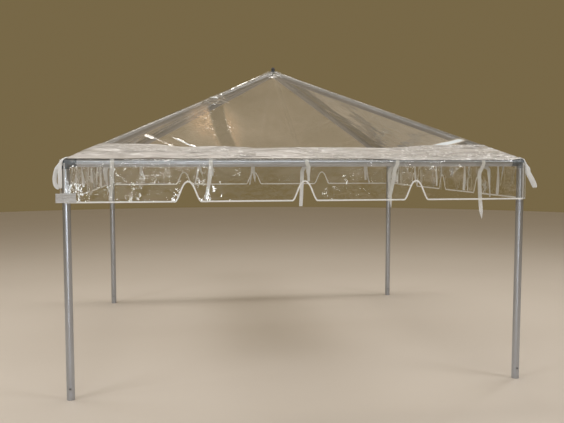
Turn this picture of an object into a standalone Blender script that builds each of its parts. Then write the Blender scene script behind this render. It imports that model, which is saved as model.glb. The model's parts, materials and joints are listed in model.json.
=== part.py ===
"""Square frame tent: aluminium tubes on spigot fittings, a clear hipped roof with a white eave
band, notched clear valances with white bindings, and webbing ties.

Metres, +Z up. The origin is on the floor under the crown, and the front faces -Y.
"""

import math

import bmesh
import bpy
from mathutils import Matrix, Vector

# Frame
OUTER_WIDTH = 3.048
EAVE_AXIS_HEIGHT = 1.496
ROOF_PITCH = 0.5
TUBE_OD = 0.0508
TUBE_WALL = 0.003
STUB_MARGIN = 0.012
SPIGOT_LENGTH = 0.100
SPIGOT_CLEARANCE = 0.0005
HUB_PROUD = 0.002
PIN_HOLE_DIAMETER = 0.011
PIN_HOLE_HEIGHT = 0.074

# Crown stem and the cap that holds the roof down on it
STEM_DIAMETER = 0.022
STEM_PROUD = 0.0006
CAP_DIAMETER = 0.032
CAP_HEIGHT = 0.027
CAP_SKIRT = 0.008

# Roof and valances
FILM = 0.002
BAND_WIDTH = 0.240
VALANCE_DROP = 0.248
BINDING_WIDTH = 0.008
LAPPETS = 4
NOTCH_WIDTH = 0.165
NOTCH_HEIGHT = 0.125
NOTCH_SHOULDER = 1.15

# Webbing
WEBBING_WIDTH = 0.025
WEBBING_THICKNESS = 0.002
TIES_PER_SIDE = 5
TIE_DROP = 0.262
TIE_WRAP = math.radians(235)
TAPE_WIDTH = 0.012
TAPE_END_MARGIN = 0.110
LOOP_LENGTH = 0.190
LOOP_NECK = 0.042
LOOP_WIDTH = 0.050
LOOP_BAND = 0.019
LOOP_LEAN = math.radians(14)

# Clearance between touching pieces, and how finely round shapes are cut
GAP = 0.0003
ROUND_STEPS = 24
NOTCH_STEPS = 16
WRAP_STEPS = 14
LOOP_STEPS = 14
MERGE = 0.0001
WELD = 0.00001

# What follows from the driving sizes
TUBE_RADIUS = TUBE_OD / 2
HALF_SPAN = (OUTER_WIDTH - TUBE_OD) / 2
CROWN_AXIS_HEIGHT = EAVE_AXIS_HEIGHT + ROOF_PITCH * HALF_SPAN
SLOPE = math.atan(ROOF_PITCH)
HUB_RADIUS = TUBE_RADIUS + HUB_PROUD
FILM_OFFSET = HUB_RADIUS + GAP
WRAP_INNER = (TUBE_RADIUS + GAP) / math.cos(TIE_WRAP / WRAP_STEPS / 2)
WRAP_OUTER = WRAP_INNER + WEBBING_THICKNESS
VALANCE_INNER = WRAP_OUTER + GAP
VALANCE_OUTER = VALANCE_INNER + FILM
VALANCE_TOP = (FILM_OFFSET - GAP - math.sin(SLOPE) * VALANCE_OUTER) / math.cos(SLOPE)
STEM_TOP = CROWN_AXIS_HEIGHT + HUB_RADIUS + STEM_PROUD

SIDES = ("front", "right", "rear", "left")
CORNERS = ("front_left", "front_right", "rear_right", "rear_left")
UP = Vector((0, 0, 1))
CROWN = Vector((0, 0, CROWN_AXIS_HEIGHT))


def clear_scene():
    """Remove what the file opened with."""
    for old in list(bpy.data.objects):
        bpy.data.objects.remove(old, do_unlink=True)


def collection(name):
    """A new collection in the scene."""
    made = bpy.data.collections.new(name)
    bpy.context.scene.collection.children.link(made)
    return made


def finish(name, colour, roughness, metallic, alpha=1.0):
    """A Principled BSDF material."""
    made = bpy.data.materials.new(name)
    made.use_nodes = True
    shader = made.node_tree.nodes["Principled BSDF"]
    shader.inputs["Base Color"].default_value = (*colour, 1)
    shader.inputs["Roughness"].default_value = roughness
    shader.inputs["Metallic"].default_value = metallic
    shader.inputs["Alpha"].default_value = alpha
    made.diffuse_color = (*colour, alpha)
    return made


def place(name, mesh, material, place_in):
    """An object for the mesh, with its material."""
    made = bpy.data.objects.new(name, mesh)
    place_in.objects.link(made)
    if material is not None and not mesh.materials:
        mesh.materials.append(material)
    return made


def hide(helper):
    """Keep a helper solid out of the render."""
    helper.hide_render = True
    helper.display_type = "WIRE"
    return helper


def mesh_from(bm, name):
    """A mesh holding the bmesh, with its faces turned out."""
    bmesh.ops.recalc_face_normals(bm, faces=bm.faces)
    mesh = bpy.data.meshes.new(name)
    bm.to_mesh(mesh)
    bm.free()
    return mesh


def turned(name, profile, material, place_in, closed=False):
    """A body of revolution about local Z; the profile runs down its outer side, in radius and height."""
    mesh = bpy.data.meshes.new(name)
    points = [(radius, 0, height) for radius, height in profile]
    edges = [(i, i + 1) for i in range(len(points) - 1)]
    if closed:
        edges.append((len(points) - 1, 0))
    mesh.from_pydata(points, edges, [])
    made = place(name, mesh, material, place_in)
    spin = made.modifiers.new("Turn", "SCREW")
    spin.steps = spin.render_steps = ROUND_STEPS
    spin.use_merge_vertices = True
    spin.merge_threshold = MERGE
    spin.use_smooth_shade = True
    return made


def point_along(made, start, direction):
    """Put the object's origin at start, with its local Z along the direction."""
    made.location = start
    made.rotation_mode = "QUATERNION"
    made.rotation_quaternion = direction.to_track_quat("Z", "Y")


def tube(name, start, end, material, place_in):
    """A round tube open at both ends."""
    run = end - start
    bore = TUBE_RADIUS - TUBE_WALL
    profile = [
        (TUBE_RADIUS, run.length),
        (TUBE_RADIUS, 0),
        (bore, 0),
        (bore, run.length),
    ]
    made = turned(name, profile, material, place_in, closed=True)
    point_along(made, start, run)
    return made


def boolean(made, other, operation, solver="EXACT"):
    """Join the other solid on, or cut it away."""
    step = made.modifiers.new(operation.title(), "BOOLEAN")
    step.operation = operation
    step.solver = solver
    step.object = hide(other)


def crotch(first, second):
    """How far from their crossing two tubes with these directions come clear of each other."""
    return TUBE_RADIUS / math.tan(first.angle(second) / 2)


def reach_of(direction, others):
    """How long a fitting's stub is, so that the tube on it clears its neighbours."""
    return max(crotch(direction, other) for other in others) + STUB_MARGIN


def fitting(name, centre, arms, material, places, stem=0.0):
    """A hub ball with a stub and a spigot along each arm, and a plain stem on top if asked.

    Arms of one radius that cross at one point leave open seams with the exact solver, so these
    unions use the manifold one.
    """
    bm = bmesh.new()
    bmesh.ops.create_uvsphere(
        bm, u_segments=ROUND_STEPS, v_segments=ROUND_STEPS // 2, radius=HUB_RADIUS
    )
    made = place(name, mesh_from(bm, name), material, places["object"])
    made.location = centre
    spigot = TUBE_RADIUS - TUBE_WALL - SPIGOT_CLEARANCE
    for number, (direction, reach) in enumerate(arms):
        profile = [
            (0, reach + SPIGOT_LENGTH),
            (spigot, reach + SPIGOT_LENGTH),
            (spigot, reach),
            (TUBE_RADIUS, reach),
            (TUBE_RADIUS, 0),
            (0, 0),
        ]
        arm = turned(f"{name}_arm_{number}", profile, material, places["helpers"])
        point_along(arm, centre, direction)
        boolean(made, arm, "UNION", solver="MANIFOLD")
    if stem:
        profile = [(0, stem), (STEM_DIAMETER / 2, stem), (STEM_DIAMETER / 2, 0), (0, 0)]
        post = turned(f"{name}_stem", profile, material, places["helpers"])
        post.location = centre
        boolean(made, post, "UNION", solver="MANIFOLD")
    return made


def corner_turn(number):
    """The quarter turns that take the front left corner, or the front side, to the numbered one."""
    return Matrix.Rotation(number * math.pi / 2, 4, "Z")


def corner_point():
    """Where the leg, beam and rafter axes cross at the front left corner."""
    return Vector((-HALF_SPAN, -HALF_SPAN, EAVE_AXIS_HEIGHT))


def corner_directions():
    """Unit vectors from that crossing along the leg, the two beams and the rafter."""
    return {
        "leg": -UP,
        "front_beam": Vector((1, 0, 0)),
        "left_beam": Vector((0, 1, 0)),
        "rafter": (CROWN - corner_point()).normalized(),
    }


def corner_reaches():
    """The stub length along each direction of a corner."""
    ways = corner_directions()
    return {
        key: reach_of(way, [other for name, other in ways.items() if name != key])
        for key, way in ways.items()
    }


def hip_directions():
    """Unit vectors from the crown down the four rafters."""
    first = (corner_point() - CROWN).normalized()
    return [corner_turn(number) @ first for number in range(len(CORNERS))]


def settled_mesh(made):
    """The mesh that an object's modifiers give, which then takes the object's place."""
    bpy.context.view_layer.update()
    graph = bpy.context.evaluated_depsgraph_get()
    mesh = bpy.data.meshes.new_from_object(made.evaluated_get(graph))
    mesh.transform(made.matrix_world)
    bpy.data.objects.remove(made, do_unlink=True)
    return mesh


def put_on_each_corner(stem_name, mesh, material, place_in):
    """One copy of a front left piece on each of the four corners."""
    for number, corner in enumerate(CORNERS):
        made = place(f"{stem_name}_{corner}", mesh, material, place_in)
        made.rotation_euler = (0, 0, number * math.pi / 2)


def build_frame(places, materials):
    """Legs, beams, rafters, corner fittings and the crown fitting."""
    centre, ways, reaches = corner_point(), corner_directions(), corner_reaches()
    hips = hip_directions()
    peak_reach = reach_of(hips[0], hips[1:])
    bright, cast = materials["tube"], materials["fitting"]
    arms = [(ways[key], reaches[key]) for key in ways]
    pattern = fitting("corner_fitting", centre, arms, cast, places)
    put_on_each_corner("corner_fitting", settled_mesh(pattern), cast, places["object"])
    leg_top = centre - UP * (reaches["leg"] + GAP)
    rafter_foot = centre + ways["rafter"] * (reaches["rafter"] + GAP)
    rafter_head = CROWN - ways["rafter"] * (peak_reach + GAP)
    beam_half = HALF_SPAN - reaches["front_beam"] - GAP
    beam_middle = Vector((0, -HALF_SPAN, EAVE_AXIS_HEIGHT))
    beam_end = Vector((beam_half, 0, 0))
    for number, corner in enumerate(CORNERS):
        turn = corner_turn(number)
        foot = turn @ Vector((centre.x, centre.y, 0))
        leg = tube(f"leg_{corner}", foot, turn @ leg_top, bright, places["object"])
        bit = pin_hole_cutter(f"leg_{corner}_pin_hole", foot, places["helpers"])
        boolean(leg, bit, "DIFFERENCE")
        head = turn @ rafter_head
        tube(f"hip_rafter_{corner}", turn @ rafter_foot, head, bright, places["object"])
    for number, side in enumerate(SIDES):
        turn = corner_turn(number)
        start, end = turn @ (beam_middle - beam_end), turn @ (beam_middle + beam_end)
        tube(f"eave_beam_{side}", start, end, bright, places["object"])
    crown_arms = [(way, peak_reach) for way in hips]
    stem = STEM_TOP - CROWN_AXIS_HEIGHT
    fitting("crown_fitting", CROWN, crown_arms, cast, places, stem=stem)


def pin_hole_cutter(name, foot, place_in):
    """A rod across a leg, front to back, for its ground pin hole."""
    bm = bmesh.new()
    bmesh.ops.create_cone(
        bm,
        cap_ends=True,
        segments=ROUND_STEPS,
        radius1=PIN_HOLE_DIAMETER / 2,
        radius2=PIN_HOLE_DIAMETER / 2,
        depth=TUBE_OD * 2,
    )
    made = place(name, mesh_from(bm, name), None, place_in)
    made.location = foot + UP * PIN_HOLE_HEIGHT
    made.rotation_euler = (math.pi / 2, 0, 0)
    return made


def build_cap(places, materials):
    """The dark domed cap on the crown's stem."""
    radius = CAP_DIAMETER / 2
    dome = CAP_HEIGHT - CAP_SKIRT
    steps = ROUND_STEPS // 4
    profile = [
        (
            radius * math.sin(i * math.pi / 2 / steps),
            CAP_SKIRT + dome * math.cos(i * math.pi / 2 / steps),
        )
        for i in range(steps + 1)
    ]
    profile += [(radius, 0), (0, 0)]
    made = turned("peak_cap", profile, materials["cap"], places["object"])
    made.location = (0, 0, STEM_TOP + GAP)


def trimmed_block(name, half_size, planes):
    """A block about the origin cut by planes, each a point and an outward normal."""
    bm = bmesh.new()
    bmesh.ops.create_cube(bm, size=2 * half_size)
    for point, normal in planes:
        cut = bmesh.ops.bisect_plane(
            bm,
            geom=bm.verts[:] + bm.edges[:] + bm.faces[:],
            plane_co=point,
            plane_no=normal,
            clear_outer=True,
        )
        rim = [part for part in cut["geom_cut"] if isinstance(part, bmesh.types.BMEdge)]
        bmesh.ops.contextual_create(bm, geom=rim)
    return mesh_from(bm, name)


def roof_planes():
    """The planes that bound the front roof slope: its two faces and its hip mitres."""
    on_axis = Vector((0, -HALF_SPAN, EAVE_AXIS_HEIGHT))
    outward = Vector((0, -math.sin(SLOPE), math.cos(SLOPE)))
    planes = [
        (on_axis + outward * FILM_OFFSET, -outward),
        (on_axis + outward * (FILM_OFFSET + FILM), outward),
    ]
    for sign in (-1, 1):
        mitre = Vector((sign, 1, 0)).normalized()
        planes.append((mitre * (-GAP / 2), mitre))
    return planes


def put_on_each_side(stem_name, mesh, material, place_in):
    """One copy of a front piece on each of the four sides."""
    for number, side in enumerate(SIDES):
        made = place(f"{stem_name}_{side}", mesh, material, place_in)
        made.rotation_euler = (0, 0, number * math.pi / 2)


def build_roof(places, materials):
    """Four clear slopes above four white eave bands."""
    eave = -(HALF_SPAN + VALANCE_OUTER)
    band_top = eave + BAND_WIDTH * math.cos(SLOPE)
    hole = STEM_DIAMETER / 2 + GAP
    back = Vector((0, 1, 0))
    reach = OUTER_WIDTH + EAVE_AXIS_HEIGHT
    clear = roof_planes() + [
        (Vector((0, band_top + GAP, 0)), -back),
        (Vector((0, -hole, 0)), back),
    ]
    band = roof_planes() + [
        (Vector((0, eave, 0)), -back),
        (Vector((0, band_top, 0)), back),
    ]
    film = trimmed_block("roof_slope", reach, clear)
    put_on_each_side("roof_panel", film, materials["clear"], places["object"])
    strip = trimmed_block("eave_band", reach, band)
    put_on_each_side("eave_band", strip, materials["white_film"], places["object"])


def notch_points(middle, base):
    """The bell-shaped edge of one notch, from its left foot to its right foot."""
    half = NOTCH_WIDTH / 2
    points = []
    for i in range(NOTCH_STEPS + 1):
        across = 2 * i / NOTCH_STEPS - 1
        bell = (1 + math.cos(math.pi * abs(across) ** NOTCH_SHOULDER)) / 2
        points.append((middle + half * across, base + NOTCH_HEIGHT * bell))
    return points


def valance_edge(half_width):
    """The free edge of a valance: down its left end, along its notched foot and up its right end."""
    foot = -VALANCE_DROP
    pitch = 2 * HALF_SPAN / LAPPETS
    edge = [(-half_width, VALANCE_TOP), (-half_width, foot)]
    for number in range(1, LAPPETS):
        edge += notch_points(number * pitch - HALF_SPAN, foot)
    edge += [(half_width, foot), (half_width, VALANCE_TOP)]
    return edge


def inset(path, distance):
    """An open path moved to its left by a distance, its ends kept at their own height."""
    moved = []
    for i, here in enumerate(path):
        point = Vector(here)
        sides = [
            (Vector(path[j + 1]) - Vector(path[j])).normalized()
            for j in (i - 1, i)
            if 0 <= j < len(path) - 1
        ]
        lefts = [Vector((-way.y, way.x)) for way in sides]
        mean = sum(lefts, Vector((0, 0))).normalized()
        moved.append(tuple(point + mean * (distance / mean.dot(lefts[0]))))
    return moved


def outline_mesh(name, outlines, thickness):
    """A flat solid in the XZ plane, centred on y = 0, from closed outlines of (x, z) points."""
    shape = bpy.data.curves.new(name, "CURVE")
    shape.dimensions = "2D"
    shape.fill_mode = "BOTH"
    shape.extrude = thickness / 2
    for outline in outlines:
        line = shape.splines.new("POLY")
        line.points.add(len(outline) - 1)
        for point, (x, z) in zip(line.points, outline):
            point.co = (x, z, 0, 1)
        line.use_cyclic_u = True
    drawn = bpy.data.objects.new(name, shape)
    bpy.context.scene.collection.objects.link(drawn)
    bpy.context.view_layer.update()
    graph = bpy.context.evaluated_depsgraph_get()
    mesh = bpy.data.meshes.new_from_object(drawn.evaluated_get(graph))
    bpy.data.objects.remove(drawn, do_unlink=True)
    bpy.data.curves.remove(shape)
    bm = bmesh.new()
    bm.from_mesh(mesh)
    bpy.data.meshes.remove(mesh)
    bmesh.ops.remove_doubles(bm, verts=bm.verts, dist=WELD)
    bm.transform(Matrix.Rotation(math.pi / 2, 4, "X"))
    return mesh_from(bm, name)


def shift_mesh(mesh, offset):
    """Move a mesh from its own frame to its place on the front side."""
    mesh.transform(Matrix.Translation(offset))
    return mesh


def build_valances(places, materials):
    """Four clear valances with notched feet, and the white binding round each."""
    middle = Vector((0, -HALF_SPAN - (VALANCE_INNER + VALANCE_OUTER) / 2, EAVE_AXIS_HEIGHT))
    edge = valance_edge(HALF_SPAN + VALANCE_INNER - GAP)
    inner = inset(edge, BINDING_WIDTH)
    film = inset(edge, BINDING_WIDTH + GAP)
    bound = outline_mesh("valance_binding", [edge + inner[::-1]], FILM)
    clear = outline_mesh("valance", [film], FILM)
    put_on_each_side(
        "valance_binding", shift_mesh(bound, middle), materials["binding"], places["object"]
    )
    put_on_each_side("valance", shift_mesh(clear, middle), materials["clear"], places["object"])


def arc(radius, start, end, steps):
    """Points on an arc about the origin."""
    turns = [start + (end - start) * i / steps for i in range(steps + 1)]
    return [(radius * math.cos(turn), radius * math.sin(turn)) for turn in turns]


def tie_outline():
    """A tie's section across the beam: a hanging strip with a lap taken round under the beam."""
    leave = -math.acos(WRAP_INNER / WRAP_OUTER)
    top = VALANCE_TOP - GAP
    outline = [(WRAP_OUTER, top), (WRAP_OUTER, -TIE_DROP), (WRAP_INNER, -TIE_DROP)]
    outline += arc(WRAP_OUTER, leave, -TIE_WRAP, WRAP_STEPS)
    outline += arc(WRAP_INNER, -TIE_WRAP, 0, WRAP_STEPS)
    outline.append((WRAP_INNER, top))
    return outline


def build_ties(places, materials):
    """On each side, a tape sewn along the eave fold with the ties that hang from it."""
    half = HALF_SPAN - TAPE_END_MARGIN
    top = VALANCE_TOP - GAP
    tape = outline_mesh(
        "eave_ties",
        [[(-half, top - TAPE_WIDTH), (half, top - TAPE_WIDTH), (half, top), (-half, top)]],
        WEBBING_THICKNESS,
    )
    face = -HALF_SPAN - (WRAP_INNER + WRAP_OUTER) / 2
    shift_mesh(tape, Vector((0, face, EAVE_AXIS_HEIGHT)))
    section = outline_mesh("tie_section", [tie_outline()], WEBBING_WIDTH)
    section.transform(Matrix.Rotation(-math.pi / 2, 4, "Z"))
    shift_mesh(section, Vector((0, -HALF_SPAN, EAVE_AXIS_HEIGHT)))
    pitch = 2 * HALF_SPAN / TIES_PER_SIDE
    for number, side in enumerate(SIDES):
        turn = corner_turn(number)
        made = place(f"eave_ties_{side}", tape, materials["webbing"], places["object"])
        made.matrix_world = turn
        for tie in range(TIES_PER_SIDE):
            helper = place(f"tie_{side}_{tie}", section, None, places["helpers"])
            across = (tie + 0.5) * pitch - HALF_SPAN
            helper.matrix_world = turn @ Matrix.Translation((across, 0, 0))
            boolean(made, helper, "UNION")


def loop_outline(inset_by):
    """A hanging loop's outline: a narrow neck at the top that widens to a round foot."""
    half_neck = LOOP_NECK / 2 - inset_by
    foot_radius = LOOP_WIDTH / 2 - inset_by
    foot_centre = LOOP_WIDTH / 2 - LOOP_LENGTH
    foot = [(x, foot_centre + z) for x, z in arc(foot_radius, -math.pi, 0, LOOP_STEPS)]
    return [(half_neck, -inset_by), (-half_neck, -inset_by)] + foot


def build_loops(places, materials):
    """A webbing loop that hangs outside each corner."""
    outlines = [loop_outline(0), loop_outline(LOOP_BAND)]
    mesh = outline_mesh("corner_loop", outlines, WEBBING_THICKNESS)
    corner = (2 * HALF_SPAN + VALANCE_INNER - GAP + VALANCE_OUTER) / math.sqrt(2)
    stand_off = WEBBING_THICKNESS / 2 + GAP
    outward = Vector((-1, -1, 0)).normalized()
    mesh.transform(
        Matrix.Translation(outward * (corner + stand_off) + UP * EAVE_AXIS_HEIGHT)
        @ Matrix.Rotation(math.atan2(outward.y, outward.x) + math.pi / 2, 4, "Z")
        @ Matrix.Rotation(-LOOP_LEAN, 4, "X")
    )
    put_on_each_corner("corner_loop", mesh, materials["webbing"], places["object"])


def main():
    """Build the tent."""
    clear_scene()
    places = {"object": collection("frame_tent"), "helpers": collection("helpers")}
    materials = {
        "tube": finish("bright_aluminium", (0.62, 0.63, 0.66), 0.32, 1.0),
        "fitting": finish("cast_aluminium", (0.42, 0.43, 0.45), 0.5, 1.0),
        "cap": finish("dark_cap", (0.06, 0.055, 0.06), 0.6, 0.0),
        "clear": finish("clear_vinyl", (0.83, 0.82, 0.78), 0.1, 0.0, alpha=0.35),
        "white_film": finish("white_film", (0.74, 0.71, 0.66), 0.35, 0.0),
        "binding": finish("white_binding", (0.86, 0.84, 0.8), 0.6, 0.0),
        "webbing": finish("white_webbing", (0.84, 0.82, 0.77), 0.75, 0.0),
    }
    build_frame(places, materials)
    build_cap(places, materials)
    build_roof(places, materials)
    build_valances(places, materials)
    build_ties(places, materials)
    build_loops(places, materials)


main()
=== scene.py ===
"""Looks of a square frame tent: drawn aluminium tubes under a clear hipped roof, with a white
eave band, notched clear valances with white bindings, webbing ties and corner loops.

Metres, +Z up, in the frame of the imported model. The front faces -Y.
"""

import json
import logging
import math
from dataclasses import dataclass, field, replace
from enum import Enum

import bpy
import numpy as np
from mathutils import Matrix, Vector

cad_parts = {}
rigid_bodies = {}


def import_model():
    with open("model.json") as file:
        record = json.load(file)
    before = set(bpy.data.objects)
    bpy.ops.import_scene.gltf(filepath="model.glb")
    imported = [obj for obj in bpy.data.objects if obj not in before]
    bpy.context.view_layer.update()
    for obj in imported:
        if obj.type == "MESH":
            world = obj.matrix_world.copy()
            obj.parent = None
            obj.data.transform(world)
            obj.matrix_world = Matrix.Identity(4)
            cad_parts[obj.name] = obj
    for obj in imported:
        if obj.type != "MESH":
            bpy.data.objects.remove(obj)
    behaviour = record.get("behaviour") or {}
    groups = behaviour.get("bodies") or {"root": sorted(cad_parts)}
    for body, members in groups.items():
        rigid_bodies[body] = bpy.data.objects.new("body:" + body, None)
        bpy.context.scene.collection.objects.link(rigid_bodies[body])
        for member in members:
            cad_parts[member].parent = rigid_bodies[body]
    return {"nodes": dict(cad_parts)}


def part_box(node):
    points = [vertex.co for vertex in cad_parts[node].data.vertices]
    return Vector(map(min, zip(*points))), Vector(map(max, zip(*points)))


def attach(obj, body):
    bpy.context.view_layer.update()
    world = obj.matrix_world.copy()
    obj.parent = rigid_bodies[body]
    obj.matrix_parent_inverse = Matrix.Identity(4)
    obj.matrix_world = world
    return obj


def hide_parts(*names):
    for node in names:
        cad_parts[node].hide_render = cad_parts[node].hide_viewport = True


for leftover in list(bpy.data.objects):
    bpy.data.objects.remove(leftover)
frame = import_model()

Array = np.ndarray
Colour = tuple[float, float, float]
Spot = tuple[float, float, float]
Pair = tuple[float, float]
Thing = bpy.types.Object
Material = bpy.types.Material

LOG = logging.getLogger("frame_tent")
BODY = "root"
# y below which a place is on the front: at the foot of the roof, and a little up the slope.
FRONT_FOOT = -1.3
FRONT_SLOPE = -1.2


class Slot(Enum):
    """The record's material slots."""

    TUBE = "tube"
    FITTING = "fitting"
    CAP = "cap"
    CLEAR = "clear_vinyl"
    WHITE = "white_film"
    BINDING = "binding"
    WEBBING = "webbing"


class QuarterTurn(Enum):
    """Parts of the tent that follow each other by a quarter turn, as their values count."""

    @property
    def label(self) -> str:
        """The part's name in the names of its pieces."""
        return self.name.lower()

    def turned(self, points: Array) -> Array:
        """Points of the first part, turned to this one."""
        return quarter_turns(points, self.value)


class Side(QuarterTurn):
    """The four sides."""

    FRONT = 0
    RIGHT = 1
    REAR = 2
    LEFT = 3


class Corner(QuarterTurn):
    """The four corners."""

    FRONT_LEFT = 0
    FRONT_RIGHT = 1
    REAR_RIGHT = 2
    REAR_LEFT = 3


def quarter_turns(points: Array, count: int) -> Array:
    """Points turned about the upright axis.

    Args:
        points: Places, with x, y and z last.
        count: How many quarter turns, seen from above and against the clock.

    Returns:
        The turned places.
    """
    cosine, sine = ((1, 0), (0, 1), (-1, 0), (0, -1))[count % 4]
    x, y, z = points[..., 0], points[..., 1], points[..., 2]
    return np.stack([cosine * x - sine * y, sine * x + cosine * y, z], axis=-1)


def smooth(value: Array, low: float, high: float) -> Array:
    """A smooth step from 0 at low to 1 at high."""
    share = np.clip((value - low) / (high - low), 0, 1)
    return share * share * (3 - 2 * share)


def hump(value: Array, width: float) -> Array:
    """A smooth hump, 1 high where the value is 0."""
    return np.exp(-((value / width) ** 2))


def off_hips(x: Array, y: Array) -> Array:
    """How far places on the plan lie from the hips, along an eave."""
    return np.abs(np.abs(x) - np.abs(y))


def run_along(path: Array) -> Array:
    """Metres from the start of a path to each of its points."""
    return np.concatenate([[0], np.cumsum(np.linalg.norm(np.diff(path, axis=0), axis=1))])


class Ripple:
    """Smooth repeatable noise on a plane, between -1 and 1."""

    CELLS = 64
    SHIFT = (9.7, 3.1)

    def __init__(self, seed: int) -> None:
        """Draw the values at the corners of the cells."""
        self.corners = np.random.default_rng(seed).uniform(-1, 1, (self.CELLS, self.CELLS))

    def at(self, x: Array, y: Array) -> Array:
        """The noise at some places.

        Args:
            x: Places along one way, in cells.
            y: Places along the other way, in cells.

        Returns:
            The noise there.
        """
        x, y = np.broadcast_arrays(np.asarray(x, float), np.asarray(y, float))
        column, row = np.floor(x), np.floor(y)
        right, up = smooth(x - column, 0, 1), smooth(y - row, 0, 1)
        i, j = column.astype(int) % self.CELLS, row.astype(int) % self.CELLS
        i_next, j_next = (i + 1) % self.CELLS, (j + 1) % self.CELLS
        low = self.corners[i, j] * (1 - right) + self.corners[i_next, j] * right
        high = self.corners[i, j_next] * (1 - right) + self.corners[i_next, j_next] * right
        return low * (1 - up) + high * up

    def layered(self, x: Array, y: Array, layers: int) -> Array:
        """Noise with finer and weaker layers on top.

        Args:
            x: Places along one way, in cells of the coarsest layer.
            y: Places along the other way, in the same cells.
            layers: How many layers there are, each half as strong as the last.

        Returns:
            The noise there.
        """
        total, weight = np.zeros(np.broadcast(x, y).shape), 0.0
        for number in range(layers):
            share, scale = 0.5**number, 2.0**number
            total += share * self.at(x * scale + self.SHIFT[0] * number, y * scale + self.SHIFT[1] * number)
            weight += share
        return total / weight


@dataclass(frozen=True)
class Grain:
    """A noise pattern of a shader.

    It has so many features to a metre, finer layers on top and some distortion. Drawn along an
    axis, it keeps only a share of each metre there. Where it is cut, it steps from 0 to 1 between
    two of its values.
    """

    scale: float
    detail: float = 2.0
    bend: float = 0.0
    cut: Pair | None = None
    kept: float = 1.0


class Wire:
    """A shader value that Python expressions are written with."""

    def __init__(self, graph: "Graph", socket: bpy.types.NodeSocket) -> None:
        """Wrap the output socket of a node in the graph."""
        self.graph = graph
        self.socket = socket

    def _maths(self, operation: str, first: "Wire | float", second: "Wire | float") -> "Wire":
        """A Math node on two values."""
        return self.graph.node("ShaderNodeMath", {"operation": operation}, {0: first, 1: second})

    def __add__(self, other: "Wire | float") -> "Wire":
        """self + other."""
        return self._maths("ADD", self, other)

    def __radd__(self, other: float) -> "Wire":
        """other + self."""
        return self._maths("ADD", other, self)

    def __sub__(self, other: "Wire | float") -> "Wire":
        """self - other."""
        return self._maths("SUBTRACT", self, other)

    def __rsub__(self, other: float) -> "Wire":
        """other - self."""
        return self._maths("SUBTRACT", other, self)

    def __mul__(self, other: "Wire | float") -> "Wire":
        """self * other."""
        return self._maths("MULTIPLY", self, other)

    def __rmul__(self, other: float) -> "Wire":
        """other * self."""
        return self._maths("MULTIPLY", other, self)

    def __truediv__(self, other: "Wire | float") -> "Wire":
        """self / other."""
        return self._maths("DIVIDE", self, other)

    def __pow__(self, other: float) -> "Wire":
        """self ** other."""
        return self._maths("POWER", self, other)

    def __abs__(self) -> "Wire":
        """abs(self)."""
        return self._maths("ABSOLUTE", self, 0.0)

    def sine(self) -> "Wire":
        """The sine of the value."""
        return self._maths("SINE", self, 0.0)

    def held(self) -> "Wire":
        """The value kept between 0 and 1."""
        return self.graph.node("ShaderNodeClamp", None, {"Value": self})

    def step(self, low: float, high: float) -> "Wire":
        """A smooth step over the value.

        Args:
            low: Where the step is 0.
            high: Where it is 1, which may be the lower of the two.

        Returns:
            The step.
        """
        settings = {"interpolation_type": "SMOOTHSTEP"}
        if low < high:
            return self.graph.node(
                "ShaderNodeMapRange", settings, {"Value": self, "From Min": low, "From Max": high}
            )
        return 1.0 - self.step(high, low)


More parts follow.
